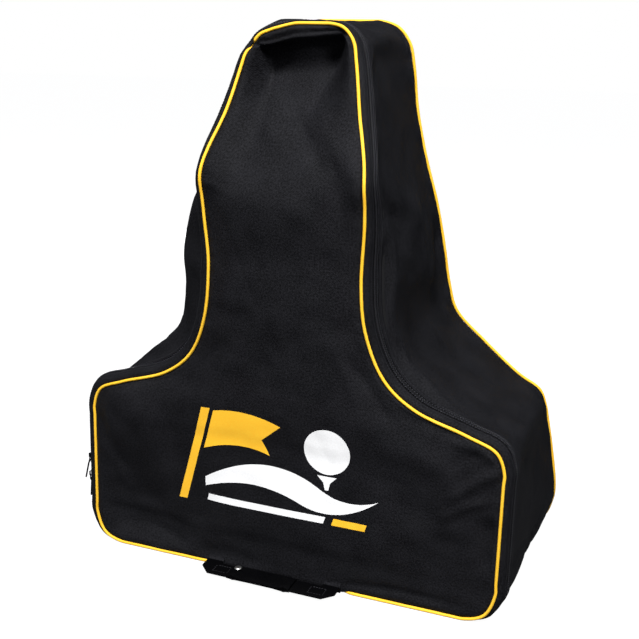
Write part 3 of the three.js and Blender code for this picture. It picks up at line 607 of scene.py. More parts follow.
def new_piece(name, points, faces, uv=None, body=None, slot=None, replaces=(), angle=35):
    """A piece from points in millimetres, with its faces out, smooth where it is round."""
    points = pinched(np.asarray(points, float).reshape(-1, 3))
    mesh = bpy.data.meshes.new(name)
    mesh.from_pydata(((points + ORIGIN) * MM).tolist(), [], faces)
    if uv is not None:
        layer = mesh.uv_layers.new(name="cloth_map")
        loops = np.empty(len(mesh.loops), np.int32)
        mesh.loops.foreach_get("vertex_index", loops)
        layer.data.foreach_set("uv", (np.asarray(uv, float).reshape(-1, 2) * MM)[loops].ravel())
    piece = placed(name, mesh)
    pick(piece)
    if signed_volume(mesh) < 0:
        mesh.flip_normals()
    bpy.ops.object.shade_smooth_by_angle(angle=math.radians(angle))
    if body:
        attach(piece, body)
    if replaces:
        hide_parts(*replaces)
    return piece


def signed_volume(mesh):
    mesh.calc_loop_triangles()
    points = np.empty(len(mesh.vertices) * 3)
    mesh.vertices.foreach_get("co", points)
    points = points.reshape(-1, 3)
    corners = np.empty(len(mesh.loop_triangles) * 3, np.int32)
    mesh.loop_triangles.foreach_get("vertices", corners)
    a, b, c = (points[corners.reshape(-1, 3)[:, k]] for k in range(3))
    return float(np.einsum("ij,ij->i", a, np.cross(b, c)).sum())


def sheet_faces(rows, columns, closed=False):
    """Faces of an outer and an inner grid of the same size, and of the edges between them."""
    index = np.arange(rows * columns).reshape(rows, columns)
    if closed:
        index = np.concatenate([index, index[:, :1]], 1)
    count = rows * columns
    top = quads(index)
    under = top[:, ::-1] + count

    def rim(line):
        return np.stack([line[:-1], line[1:], line[1:] + count, line[:-1] + count], -1)

    rims = [rim(index[0]), rim(index[-1])[:, ::-1]]
    if not closed:
        rims += [rim(index[:, 0])[:, ::-1], rim(index[:, -1])]
    return top, under, np.concatenate(rims)


def sheet_piece(name, outer, inner, uv, closed=False, **rest):
    """A sheet of cloth with thickness. Its inner face takes the second material."""
    rows, columns = outer.shape[:2]
    top, under, rims = sheet_faces(rows, columns, closed)
    faces = np.concatenate([top, rims, under])
    points = np.concatenate([outer.reshape(-1, 3), inner.reshape(-1, 3)])
    both = np.concatenate([uv.reshape(-1, 2), uv.reshape(-1, 2)])
    piece = new_piece(name, points, faces.tolist(), both, **rest)
    marks = np.zeros(len(faces), np.int32)
    marks[len(top) + len(rims):] = 1
    piece.data.polygons.foreach_set("material_index", marks)
    return piece


def arc_lengths(places):
    """Lengths along the first way of a grid, taken down its middle."""
    return running(places[:, places.shape[1] // 2])


# Finishes

def colour(hex_value):
    """An sRGB hex value as linear red, green, blue and alpha."""
    parts = [int(hex_value[i:i + 2], 16) / 255 for i in (1, 3, 5)]
    return tuple(p / 12.92 if p <= 0.04045 else ((p + 0.055) / 1.055) ** 2.4 for p in parts) + (1.0,)


def add_node(tree, kind, settings=None, **links):
    """Adds a node, sets what settings name, and links each input named to the output given."""
    node = tree.nodes.new(kind)
    for key, value in (settings or {}).items():
        if key in node.inputs:
            node.inputs[key].default_value = value
        else:
            setattr(node, key, value)
    for key, source in links.items():
        tree.links.new(source, node.inputs[int(key[1:]) if key[1:].isdigit() else key.replace("_", " ")])
    return node


def new_finish(name, shader):
    material = bpy.data.materials.new(name)
    material.use_nodes = True
    tree = material.node_tree
    tree.nodes.clear()
    out = tree.nodes.new("ShaderNodeOutputMaterial")
    principled = add_node(tree, "ShaderNodeBsdfPrincipled", shader)
    tree.links.new(principled.outputs["BSDF"], out.inputs["Surface"])
    return material, tree, principled


TONE_PLACES = (0.35, 0.65)


def tint(tree, principled, factor, *tones):
    """Colours a finish between a dark and a light tone."""
    ramp = add_node(tree, "ShaderNodeValToRGB", None, Fac=factor)
    for stop, place, tone in zip(ramp.color_ramp.elements, TONE_PLACES, tones):
        stop.position = place
        stop.color = colour(tone)
    tree.links.new(ramp.outputs["Color"], principled.inputs["Base Color"])


def roughen(tree, principled, source, low, high):
    spread = add_node(tree, "ShaderNodeMapRange", {"To Min": low, "To Max": high}, Value=source)
    tree.links.new(spread.outputs["Result"], principled.inputs["Roughness"])


WAVE_TURN = 2 * math.pi / 20


def bands(tree, source, pitch_mm, direction):
    settings = {"bands_direction": direction, "Scale": WAVE_TURN / (pitch_mm * MM)}
    return add_node(tree, "ShaderNodeTexWave", settings, Vector=source).outputs["Fac"]


def maths(tree, operation, first, second=None, value=0.5):
    settings = {"operation": operation}
    node = add_node(tree, "ShaderNodeMath", settings, _0=first)
    if second is None:
        node.inputs[1].default_value = value
    else:
        tree.links.new(second, node.inputs[1])
    return node.outputs[0]


def weighed(tree, *parts):
    """The sum of two outputs, each multiplied by its share."""
    return maths(tree, "ADD", *(maths(tree, "MULTIPLY", output, value=share) for output, share in parts))


def speckle(tree, source, size_mm, detail=3.0):
    settings = {"Scale": 1 / (size_mm * MM), "Detail": detail}
    return add_node(tree, "ShaderNodeTexNoise", settings, Vector=source).outputs["Fac"]


def relief(tree, principled, height, depth_mm):
    bump = add_node(tree, "ShaderNodeBump", {"Strength": 1.0, "Distance": depth_mm * MM}, Height=height)
    tree.links.new(bump.outputs["Normal"], principled.inputs["Normal"])


def woven(name, dark, light, thread_mm, relief_mm, rough, specular, cloud_share=0.55):
    """Plain weave on the cloth's own map: threads cross over and under, with uneven dye and slubs."""
    material, tree, principled = new_finish(name, {"Specular IOR Level": specular})
    place = add_node(tree, "ShaderNodeTexCoord").outputs["UV"]
    warp, weft = bands(tree, place, thread_mm * 2, "X"), bands(tree, place, thread_mm * 2, "Y")
    weave = maths(tree, "ABSOLUTE", maths(tree, "SUBTRACT", warp, weft))
    slub = speckle(tree, place, 2.4, 1.0)
    cloud = speckle(tree, place, 42, 4.0)
    tint(tree, principled, weighed(tree, (slub, 1 - cloud_share), (cloud, cloud_share)), dark, light)
    roughen(tree, principled, cloud, rough - 0.06, rough + 0.08)
    relief(tree, principled, weighed(tree, (weave, 0.7), (slub, 0.6)), relief_mm)
    return material


def ribbed(name, dark, light, rib_mm, relief_mm, rough, specular, direction="Y"):
    """Narrow woven tape or webbing: close ribs across it and a fine thread grain."""
    material, tree, principled = new_finish(name, {"Specular IOR Level": specular, "Roughness": rough})
    place = add_node(tree, "ShaderNodeTexCoord").outputs["UV"]
    rib = bands(tree, place, rib_mm, direction)
    grain = speckle(tree, place, 1.4)
    tint(tree, principled, grain, dark, light)
    relief(tree, principled, weighed(tree, (rib, 0.8), (grain, 0.4)), relief_mm)
    return material


def cast_metal(name, dark, light, rough):
    """Die-cast zinc under plating: nearly smooth, with slight clouding and hairline scuffs."""
    material, tree, principled = new_finish(name, {"Metallic": 1.0})
    place = add_node(tree, "ShaderNodeTexCoord").outputs["Object"]
    cloud, scuff = speckle(tree, place, 6), speckle(tree, place, 0.9, 2.0)
    tint(tree, principled, cloud, dark, light)
    roughen(tree, principled, scuff, rough - 0.08, rough + 0.16)
    relief(tree, principled, scuff, 0.04)
    return material


def moulded(name, dark, light, rough, specular=0.5, grain_mm=1.2, relief_mm=0.05):
    """Nylon or spun thread: an even fine grain."""
    material, tree, principled = new_finish(name, {"Roughness": rough, "Specular IOR Level": specular})
    place = add_node(tree, "ShaderNodeTexCoord").outputs["Object"]
    grain = speckle(tree, place, grain_mm)
    tint(tree, principled, grain, dark, light)
    relief(tree, principled, grain, relief_mm)
    return material


# Woven and ribbed finishes: both tones, thread or rib and relief in millimetres, roughness, gloss.
# Moulded ones: both tones, roughness, gloss, grain and relief in millimetres.

# 600 denier polyester in plain weave: dull black, grainy close up, with next to no gloss
polyester = woven("woven_polyester", "#0c0c0e", "#1e1e21", 1.1, 0.36, 0.6, 0.05, 0.3)
# Polyurethane backing on the cloth's inner face: smoother and greyer than the weave
backing = moulded("polyurethane_backing", "#1d1d1f", "#242426", 0.5, 0.3, 2.4, 0.1)
# Bias-cut polyester tape sewn over a cord: saturated yellow, fine diagonal weave
piping_tape = woven("yellow_bias_tape", "#f6bb26", "#ffcb3c", 0.6, 0.12, 0.55, 0.25)
binding_tape = ribbed("grosgrain_binding", "#101011", "#18181a", 1.2, 0.15, 0.8, 0.2)
zip_cloth = ribbed("knitted_zip_tape", "#0c0c0d", "#151517", 1.5, 0.2, 0.8, 0.2)
# Moulded nylon coil: harder and glossier than the tape, so each turn catches a point of light
coil_nylon = moulded("nylon_coil", "#101013", "#1b1b1f", 0.35, 0.35)
thread = moulded("spun_polyester_thread", "#1e1e22", "#2a2a2f", 0.6, 0.4, 0.8, 0.08)
# The thread that holds the coil down is painted paler than the other thread, as a painted highlight for the
# light caught along the zip's folded edges, and reads as two dotted lines along the zip
coil_thread = moulded("holding_thread_painted_highlight", "#3c3c44", "#5a5a62", 0.5, 0.3, 0.8, 0.08)
# Flat polypropylene webbing: ribs across it, blacker than the cloth
webbing = ribbed("polypropylene_webbing", "#020203", "#050506", 1.8, 0.3, 0.55, 0.04, "X")
padded_wrap = woven("padded_grip_cloth", "#020203", "#050506", 1.0, 0.3, 0.6, 0.03)
gunmetal = cast_metal("gunmetal_plated_zinc", "#3a3a3d", "#4a4a4e", 0.34)
nickel = cast_metal("nickel_plated_brass", "#c9c8c5", "#e0dfdc", 0.3)
# Thick plastisol print that lies on the weave
print_yellow = moulded("yellow_screen_print", "#ffbe2c", "#ffc735", 0.5, 0.25, 1.6, 0.08)
print_white = moulded("white_screen_print", "#f2f2f2", "#fafafa", 0.5, 0.25, 1.6, 0.08)


def dress(piece, *finishes):
    for finish in finishes:
        piece.data.materials.append(finish)
    return piece


# Front panel, one cloth from the base to the top, across the line of the flap's fold

fold_height = SIDE_LINE[FOOT_ROW][FRONT][1] * HEIGHT


def bend_at_fold(piece):
    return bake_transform(piece)


def seam_edge(rows, side, which, inset):
    """Seam place of a panel, moved in from the seam by the inset."""
    place, normal, depth = seam_of(side_columns(side, rows), which)
    return upright(place - normal * inset, depth)


RISE_ROWS = 5


def panel_rise(rows, which):
    rows = np.asarray(rows, float)
    if which == FRONT:
        return smooth((rows - FOOT_ROW) / RISE_ROWS) * np.clip((TOP_ROW - rows) / RISE_ROWS, 0, 1)
    return smooth(rows / RISE_ROWS) * smooth((TOP_ROW - rows) / RISE_ROWS)


EDGE_STEPS = np.array([0, 1.2, 2.6, 4.2, 6.2, 9])


def panel_places(rows, which, steps, inset):
    """A panel's outer face: rows of places from the left seam to the right one, and their shares."""
    left, right = (seam_edge(rows, side, which, inset) for side in (-1, 1))
    width = np.linalg.norm(right - left, axis=1)
    middle = np.linspace(0, 1, steps)[None]
    if steps > 40:
        edge = EDGE_STEPS[-1] / width[:, None]
        inner = edge + (1 - 2 * edge) * middle[:, 1:-1]
        near = EDGE_STEPS[None] / width[:, None]
        shares = np.concatenate([near, inner, 1 - near[:, ::-1]], 1)
    else:
        shares = np.repeat(middle, len(rows), 0)
    places = left[:, None] + (right - left)[:, None] * shares[..., None]
    crown = -FRONT_CROWN if which == FRONT else BACK_CROWN
    across = shares * 2 - 1
    places[..., 1] += crown * (1 - across**2) * panel_rise(rows, which)[:, None]
    return places, shares


row_dense = np.linspace(0, TOP_ROW, 2000)
height_dense = np.maximum.accumulate(outline_place(FRONT, row_dense, 1)[:, 1])


def rows_at(heights):
    return np.interp(heights, height_dense + np.arange(2000) * 1e-7, row_dense)


LIP_DROP = 15
LIP_STEP = 8
LIP_SHARE = 0.6
LIP_SLOPE = 0.07
LIP_RISE = 2.2
BAND_SLOPE = 8
HOLLOW_DEPTH = 45
HOLLOW_DROP = 46
HOLLOW_RETURN = 165
HOLLOW_MARGIN = 5
HOLLOW_FADE = 12
HOLLOW_NARROWING = (0.3, 0.65)
LIP_SAG, LIP_HALF = 3, 72
LIP_OVER, LIP_REACH = -1.5, 2.4
LIP_FADE, BAND_FADE = 12, 8
NARROW_FROM, NARROW_OVER = -60, 80


def top_hollow(places, margin):
    """The slack top of the front: the cloth folds over a lip, falls back under it as far as the
    drop, and comes forward again. The hollow narrows as it falls."""
    across = places[..., 0]
    sag = LIP_SAG * (1 - (across / LIP_HALF) ** 2)
    above = HEIGHT - LIP_DROP + LIP_SLOPE * across - sag - places[..., 2]
    below = np.maximum(above, 0)
    fall = LIP_SHARE * smooth(below / LIP_STEP) + (1 - LIP_SHARE) * smooth(below / HOLLOW_DROP)
    back = np.clip((below - HOLLOW_DROP) / HOLLOW_RETURN, 0, 1)
    left = 1 - (back + smooth(back)) / 2
    narrowing = mix(*HOLLOW_NARROWING, smooth((across - NARROW_FROM) / NARROW_OVER))
    inside = smooth((margin - HOLLOW_MARGIN) / (HOLLOW_FADE + narrowing * below))
    slope = BAND_SLOPE * smooth((above + LIP_DROP) / LIP_DROP) * (1 - smooth(below / LIP_STEP))
    rise = LIP_RISE * hump(above, LIP_OVER, LIP_REACH) * smooth(margin / LIP_FADE)
    return HOLLOW_DEPTH * fall * left * inside + slope * smooth(margin / BAND_FADE) - rise


EASE_REACH = 30
EASE_LOW, EASE_LOW_FADE = 430, 80
EASE_HIGH, EASE_HIGH_FADE = 690, 50
ease_steps = np.linspace(-3, 3, 25)
ease_weights = np.exp(-(ease_steps**2) / 2)


def ease_ridge(places):
    """How far back the cloth spans the seams' sharp change of lean, rather than follow it."""
    heights = places[..., 2, None] + ease_steps * EASE_REACH
    eased = front_depth(np.clip(heights, 0, HEIGHT)) @ ease_weights / ease_weights.sum()
    only_here = smooth((places[..., 2] - EASE_LOW) / EASE_LOW_FADE)
    only_here = only_here * smooth((EASE_HIGH - places[..., 2]) / EASE_HIGH_FADE)
    return (eased - front_depth(places[..., 2])) * only_here


SAG_LOW, SAG_HIGH = -124, 108
SAG_FADE = 16
SAG_DROP = 3.0
SAG_LEAN = 1.6
SAG_REACH = 26


def handle_sag(across):
    """How fully the cloth hangs over the foot at places across it."""
    return smooth((across - SAG_LOW) / SAG_FADE) * smooth((SAG_HIGH - across) / SAG_FADE)


# Slack of the lower left, out under the shoulder and in below it: how far, then centre and reach
LEFT_SLACK = ((14, -250, 70, 208, 52), (-11, -222, 85, 56, 66))


def left_bulge(places):
    """How far forward the slack of the lower left stands."""
    across, up = places[..., 0], places[..., 2]
    return sum(out * hump(across, x, wide) * hump(up, z, tall) for out, x, wide, z, tall in LEFT_SLACK)


LEFT_FOOT = (-275, -120, 30)
RIGHT_FOOT_LOW, RIGHT_FOOT_HIGH, RIGHT_FOOT_SHARE = 100, 180, 0.3


def foot_sag(places):
    """How far the cloth's foot hangs over the piping below it, from nothing to one."""
    across = places[..., 0]
    low, high, fade = LEFT_FOOT
    left = smooth((across - low) / fade) * smooth((high - across) / fade)
    slack = 0.34 + 0.2 * np.sin(across / 11) + 0.16 * np.sin(across / 4.7 + 1)
    right = smooth((across - RIGHT_FOOT_LOW) / 20) * smooth((RIGHT_FOOT_HIGH - across) / 60)
    amount = np.maximum(handle_sag(across), np.maximum(left * slack, right * RIGHT_FOOT_SHARE))
    return amount * np.exp(-((places[..., 2] / SAG_REACH) ** 2))


SIM_ROWS, SIM_COLUMNS = 78, 33
SIM_INSET = 4
SIM_PUSH = 0.9
SIM_SLACK, SIM_CAP = 0.006, 2.5
FOLD_HOLD = 8


def spread_out(grid):
    """Each value of a grid averaged with its neighbours."""
    wide = np.pad(grid, ((1, 1), (1, 1), (0, 0)), mode="edge")
    wide = wide[:-2] * 0.25 + wide[1:-1] * 0.5 + wide[2:] * 0.25
    return wide[:, :-2] * 0.25 + wide[:, 1:-1] * 0.5 + wide[:, 2:] * 0.25


def loosened(which, rows, shares):
    """The simulated slack of a panel at the rows and shares asked for."""
    coarse_rows = rows_at(np.linspace(height_dense[0], height_dense[-1], SIM_ROWS))
    coarse, _ = panel_places(coarse_rows, which, SIM_COLUMNS, SIM_INSET)
    held = np.zeros(coarse.shape[:2], bool)
    held[:, (0, -1)] = held[(0, -1), :] = True
    if which == FRONT:
        held[np.abs(coarse[:, 0, 2] - fold_height) < FOLD_HOLD] = True
    offset = loosen(coarse, held, SIM_SLACK, -SIM_PUSH if which == FRONT else SIM_PUSH, SIM_CAP)
    for _ in range(2):
        offset = spread_out(offset)
    at_row = np.interp(rows, coarse_rows, np.arange(len(coarse_rows)))
    return sample(offset, at_row[:, None], shares * (SIM_COLUMNS - 1))


CALM_REACH = 30
FOLD_CALM, FOLD_CALM_REACH = 0.8, 14
SLACK_FADE, EASE_FADE = 34, 50


def make_panel(name, which, heights, steps, folds_way, seed, **rest):
    """A panel's cloth: slack, folds and puckers, pressed the way that leads into the bag."""
    rows = rows_at(heights)
    places, shares = panel_places(rows, which, steps, SEAM_EDGE)
    places = places + loosened(which, rows, shares)
    width = np.linalg.norm(places[:, -1] - places[:, 0], axis=1)[:, None]
    distance = np.minimum(shares, 1 - shares) * width
    ends = np.minimum(places[..., 2] - places[0, 0, 2], places[-1, 0, 2] - places[..., 2])
    near = np.minimum(distance, ends)
    calm = smooth(near / CALM_REACH)
    push = ripple(places, 120, seed) * 0.7 * calm + crumple(places, 46, seed + 1) * 0.9 * calm
    if which == FRONT:
        push += fold_offset(places) * smooth(near / 9) + main_press(places) * smooth(near / FOLD_FADE)
        push += top_hollow(places, near)
        push *= 1 - FOLD_CALM * hump(places[..., 2], fold_height, FOLD_CALM_REACH)
    push += seam_pucker(places[..., 2] + places[..., 0] * 0.4, near, seed + 2)
    places[..., 1] += push * folds_way
    if which == FRONT:
        sag = foot_sag(places)
        places[..., 1] -= left_bulge(places) * smooth(near / SLACK_FADE)
        places[..., 2] -= SAG_DROP * sag
        places[..., 1] += ease_ridge(places) * smooth(near / EASE_FADE) - SAG_LEAN * sag
    inner = places.copy()
    inner[..., 1] += CLOTH * folds_way
    piece = sheet_piece(name, places, inner, places[..., (0, 2)], slot="cloth", **rest)
    return places, dress(piece, polyester, backing)


front_heights = np.concatenate([
    spans(height_dense[0], 690, 3.4), spans(691.5, 722, 2), spans(723.1, 752, 1.1),
    spans(753.5, height_dense[-1], 1.6),
])
front_places, front_cloth = make_panel(
    "front_cloth", FRONT, front_heights, 116, 1, 11, replaces=("front_panel", "front_base_panel"),
)
bend_at_fold(front_cloth)

back_heights = spans(height_dense[0], height_dense[-1], 5)
make_panel("back_cloth", BACK, back_heights, 96, -1, 23, body="bag", replaces=("back_panel",))

# Printed motif on the front: a pennant on its pole, a ball over rolling ground, and a rule below.
# Places are across and up in millimetres, from the foot of the front seam.

PRINT_LIFT = 0.24
PRINT_UNDER = 0.05
PRINT_STEP = 5.0
SLANT = 0.3


def slanted(points, foot):
    return [(x + SLANT * (z - foot), z) for x, z in points]


def arc(centre_x, centre_z, radius, start, end, steps):
    turns = np.radians(np.linspace(start, end, steps))
    return [(centre_x + radius * math.cos(t), centre_z + radius * math.sin(t)) for t in turns]


def bow(start, middle, end, steps=22):
    """Points of a smooth bow from start past middle to end."""
    shares = np.linspace(0, 1, steps)[:, None]
    start, middle, end = (np.array(place, float) for place in (start, middle, end))
    line = start * (1 - shares) ** 2 + 2 * middle * shares * (1 - shares) + end * shares**2
    return [tuple(place) for place in line]


def closer(corners, step):
    """An outline with further points, so that none are more than a step apart."""
    points = []
    for start, end in zip(corners, corners[1:] + corners[:1]):
        count = max(1, math.ceil(math.dist(start, end) / step))
        points += [tuple(mix(np.array(start), np.array(end), k / count)) for k in range(count)]
    return points


def front_face_at(places):
    """Places on the front cloth's outer face under points across and up."""
    graph = BVHTree.FromPolygons(
        [tuple(point) for point in front_places.reshape(-1, 3)],
        quads(np.arange(front_places[..., 0].size).reshape(front_places.shape[:2])).tolist(),
    )
    hits = [graph.ray_cast(Vector((x, -200, z)), Vector((0, 1, 0)))[0] for x, z in places]
    return np.array([tuple(hit) for hit in hits])


def print_piece(name, outlines, finish, slot):
    points, triangles = [], []
    for corners in outlines:
        outline = closer(corners, PRINT_STEP / 2)
        low, high = np.min(outline, axis=0), np.max(outline, axis=0)
        grid = [
            (x, z) for x in np.arange(low[0] + 1.3, high[0], PRINT_STEP)
            for z in np.arange(low[1] + 1.7, high[1], PRINT_STEP)
            if np.min(np.hypot(*(np.array(outline) - (x, z)).T)) > PRINT_STEP * 0.3
        ]
        count = len(outline)
        edges = [(k, (k + 1) % count) for k in range(count)]
        flat = [Vector(place) for place in [*outline, *grid]]
        found, _, faces, *_ = delaunay_2d_cdt(flat, edges, [], 1, 1e-4)
        used = sorted({corner for face in faces for corner in face})
        new_index = {old: len(points) + k for k, old in enumerate(used)}
        points += [tuple(found[old]) for old in used]
        triangles += [[new_index[corner] for corner in face] for face in faces]
    face = front_face_at(points)
    count = len(face)
    both = np.concatenate([face - (0, PRINT_LIFT, 0), face - (0, PRINT_UNDER, 0)])
    sides = dict.fromkeys(edge for a, b, c in triangles for edge in ((a, b), (b, c), (c, a)))
    rims = [[a, b, b + count, a + count] for a, b in sides if (b, a) not in sides]
    faces = [face[::-1] for face in triangles] + [[k + count for k in face] for face in triangles] + rims
    return dress(new_piece(name, both, faces, body="front_flap", slot=slot), finish)


pole = slanted([(-164, 94), (-151, 94), (-151, 243), (-164, 243)], 94)
pennant = slanted([*bow((-145, 240), (-96, 252), (-40, 232)), (-62, 208)], 94)
pennant += slanted(bow((-44, 186), (-96, 202), (-145, 180)), 94)
ground = bow((-118, 136), (-20, 200), (60, 148))[:-1] + bow((60, 148), (98, 126), (142, 146))[:-1]
ground += bow((142, 146), (84, 100), (30, 122))[:-1] + bow((30, 122), (-40, 154), (-118, 122))
ball = arc(68, 206, 33, 0, 350, 48)
tee = [(54, 170), (82, 170), (73, 161), (70.5, 150), (65.5, 150), (63, 161)]
rule = slanted([(-116, 100), (64, 100), (64, 110), (-116, 110)], 100)
rule_end = slanted([(76, 100), (124, 100), (124, 110), (76, 110)], 100)
print_piece("printed_pennant", [pole, pennant, rule_end], print_yellow, "piping")
print_piece("printed_ball", [ball, tee, ground, rule], print_white, "cloth")

# Gusset

TAPE_REACH = 16
PATCH_GAP = 0.3


NEAR_EDGE = np.array([0, 0.3, 0.7, 1.3, 2.2, 3.6, 5.6])
GUSSET_PUSH, GUSSET_CAP = 0.6, 3.5
GUSSET_CALM = 26
FLOOR_FADE = 6


def gusset_lengths(columns, low, high, step):
    """Lengths from the front seam for each column, closer together near both edges."""
    low, high = (np.broadcast_to(edge, columns["total"].shape) for edge in (low, high))
    inner = np.linspace(0, 1, max(3, int(np.max(high - low) / step)))[1:-1]
    span = (high - low - NEAR_EDGE[-1] - NEAR_EDGE[-1])[:, None]
    middle = low[:, None] + NEAR_EDGE[-1] + span * inner
    return np.concatenate([low[:, None] + NEAR_EDGE, middle, high[:, None] - NEAR_EDGE[::-1]], 1)


def gusset_piece(
    name, columns, low, high, step, seed, slack=None, seam_low=False, seam_high=False, folds=1.0, **rest,
):
    """A sheet on the gusset between two lengths, folded under at the zip and sewn in at a seam."""
    wanted = gusset_lengths(columns, low, high, step)
    places, normals = cloth_surface(columns, wanted)
    from_low, from_high = wanted - wanted[:, :1], wanted[:, -1:] - wanted
    around = arc_lengths(places)
    edge = np.minimum(from_low, from_high)
    push = (fold_offset(places) * smooth(edge / 10) + main_press(places) * smooth(edge / FOLD_FADE)) * folds
    calm = smooth(edge / GUSSET_CALM) * folds
    push += (ripple(places, 110, seed) * 0.7 + crumple(places, 44, seed + 1)) * calm
    if slack is not None:
        coarse = places[::2, ::2]
        held = np.zeros(coarse.shape[:2], bool)
        held[(0, -1), :] = held[:, :3] = held[:, -3:] = True
        offset = loosen(coarse, held, slack, GUSSET_PUSH, GUSSET_CAP)
        rows, lanes = (
            np.minimum(np.arange(count) / 2, coarse_count - 1)
            for count, coarse_count in zip(places.shape[:2], coarse.shape[:2])
        )
        fade = smooth(from_low / 8) * smooth(from_high / 8)
        places = places + sample(offset, rows[:, None], lanes) * fade[..., None]
    push += seam_pucker(around[:, None], from_low, seed + 2) if seam_low else hem_sink(from_low)
    push += seam_pucker(around[:, None], from_high, seed + 3) if seam_high else hem_sink(from_high)
    floor = np.clip(places[..., 2] / FLOOR_FADE, 0, 1)
    outer = places - normals * (push * floor)[..., None]
    outer[..., 2] = np.maximum(outer[..., 2], 0.05)
    inner = outer - normals * CLOTH
    piece = sheet_piece(name, outer, inner, grid_map(around[:, None], wanted), slot="cloth", **rest)
    dress(piece, polyester, backing)
    return outer


small_gap = 0.01
arch = with_cut(arch_columns(small_gap))
flap_arch = with_cut(arch_columns(FOOT_ROW + small_gap))
half_window = ZIP_WINDOW / 2

gusset_outer = gusset_piece(
    "gusset_cloth", arch, arch["zip"] + half_window, arch["total"] - SEAM_EDGE, 4.2, 31, slack=0.008,
    seam_high=True, body="bag", replaces=("main_gusset",),
)
strip_outer = gusset_piece(
    "strip_cloth", flap_arch, SEAM_EDGE, flap_arch["zip"] - half_window, 2.4, 41, seam_low=True, folds=0.35,
    body="front_flap", replaces=("front_gusset_strip",),
)
base_shares = np.linspace(-1, 1, 110) * 0.9985
base_columns = with_cut(level_columns(0, (0, -1), base_shares))
gusset_piece(
    "base_cloth", base_columns, SEAM_EDGE, base_columns["total"] - SEAM_EDGE, 6, 51, seam_low=True,
    seam_high=True, folds=0, body="bag", replaces=("base_panel",),
)

for name, side in (("right", 1), ("left", -1)):
    rows = np.linspace(small_gap, FOOT_ROW - small_gap, 26)
    patch_columns = with_cut(side_columns(side, rows if side > 0 else rows[::-1]))
    patch_end = patch_columns["zip"] + half_window - PATCH_GAP
    gusset_piece(
        f"end_patch_{name}", patch_columns, SEAM_EDGE, patch_end, 2.4, 61, seam_low=True, folds=0, body="bag",
        replaces=(f"zip_end_patch_{name}",),
    )

# Zip tapes and coils

TAPE_TOP = 3.0
TAPE_THICK = 0.8
COIL_SPLIT = 1.4
COIL_DEPTH = 0.8
COIL_THREAD = 3.5
COIL_PITCH = 3.0
COIL_START = 6
COIL_HEAD = -0.35
TAPE_LANES = np.array((COIL_SPLIT / 2, 3, 6, 9, 12.5, TAPE_REACH))


def on_gusset(columns, lengths, depth):
    """Places along the outline at one length, sunk by a depth, with the ways along, across and out."""
    places, normals = cloth_surface(columns, np.stack([lengths - 1, lengths, lengths + 1], 1))
    middle = places[:, 1] - normals[:, 1] * depth
    return middle, unit(np.gradient(middle, axis=0)), unit(places[:, 2] - places[:, 0]), normals[:, 1]


def evenly(line, pitch, start=0.0):
    """Fractional places along a line of points, a pitch apart."""
    lengths = running(line)
    return np.interp(np.arange(start, lengths[-1], pitch), lengths, np.arange(len(line)))


def repeated(shape, shape_faces, frames):
    """One mesh of a small shape repeated in frames of origin, along, across and out."""
    origin, *ways = frames
    shape = np.asarray(shape, float)
    points = origin[:, None] + sum(shape[:, axis, None] * way[:, None] for axis, way in enumerate(ways))
    starts = range(0, len(origin) * len(shape), len(shape))
    faces = [[start + corner for corner in face] for start in starts for face in shape_faces]
    return points.reshape(-1, 3), faces


def frames_at(parts, places):
    """Frames at fractional places along the lines of parts."""
    low = np.clip(np.floor(places).astype(int), 0, len(parts[0]) - 2)
    share = (places - low)[:, None]
    mixed = [mix(part[low], part[low + 1], share) for part in parts]
    return [mixed[0], *map(unit, mixed[1:])]


def bar(length_points, sides=6):
    """A small closed bar through sections of place, half width and half height."""
    points, faces = [], []
    for x, y, z, half_x, half_z in length_points:
        for k in range(sides):
            turn = 2 * math.pi * k / sides
            points.append((x + half_x * math.cos(turn), y, z + half_z * math.sin(turn)))
    for first in range(0, len(points) - sides, sides):
        for k in range(sides):
            after = (k + 1) % sides
            faces.append([first + k, first + after, first + sides + after, first + sides + k])
    faces += [list(range(sides))[::-1], list(range(len(points) - sides, len(points)))]
    return points, faces


for name, columns, way, body in (
    ("front", flap_arch, -1, "front_flap"), ("rear", with_cut(arch_columns(FOOT_ROW)), 1, "bag"),
):
    lengths = columns["zip"][:, None] + way * TAPE_LANES[::way]
    places, normals = cloth_surface(columns, lengths)
    tape = sheet_piece(
        f"{name}_tape", places - normals * TAPE_TOP, places - normals * (TAPE_TOP + TAPE_THICK),
        grid_map(arc_lengths(places)[:, None], lengths), body=body, slot="zip_tape",
        replaces=(f"{name}_zip_tape",),
    )
    dress(tape, zip_cloth, zip_cloth)
    line = on_gusset(columns, columns["zip"], COIL_DEPTH)
    marks = evenly(line[0], COIL_PITCH, COIL_START + (COIL_PITCH / 2 if way > 0 else 0))
    turn_shape, turn_faces = bar([
        (0, way * COIL_HEAD, 0, 0.5, 0.55), (0, way * (COIL_HEAD + 0.5), 0, 0.85, 0.92),
        (0, way * 1.4, 0, 0.7, 0.95), (0, way * 3.1, 0, 0.7, 0.95), (0, way * 3.5, -0.1, 0.5, 0.6),
    ])
    points, faces = repeated(turn_shape, turn_faces, frames_at(line, marks[:-2]))
    coil = new_piece(
        f"{name}_coil", points, faces, body=body, slot="zip_coil", replaces=(f"{name}_zip_coil",), angle=60,
    )
    dress(coil, coil_nylon)

# Piping: a cord under bias tape, a little uneven

CORD_SIDES = 14
CORD_FOLD = np.array((-71.5, 34, 739))
CORD_FOLD_REACH = 6.5
CORD_FOLD_DEPTH = 5
CORD_FOLD_THIN = 0.8
CORD_TUCK = 4.5
CORD_UNEVEN = 0.03
CORD_WANDER = 0.25
UNEVEN_LENGTHS = (17, 29, 53, 91)


def ring_of(columns, which):
    place, normal, depth = seam_of(columns, which)
    return upright(place, depth), upright(normal, 0 * depth)


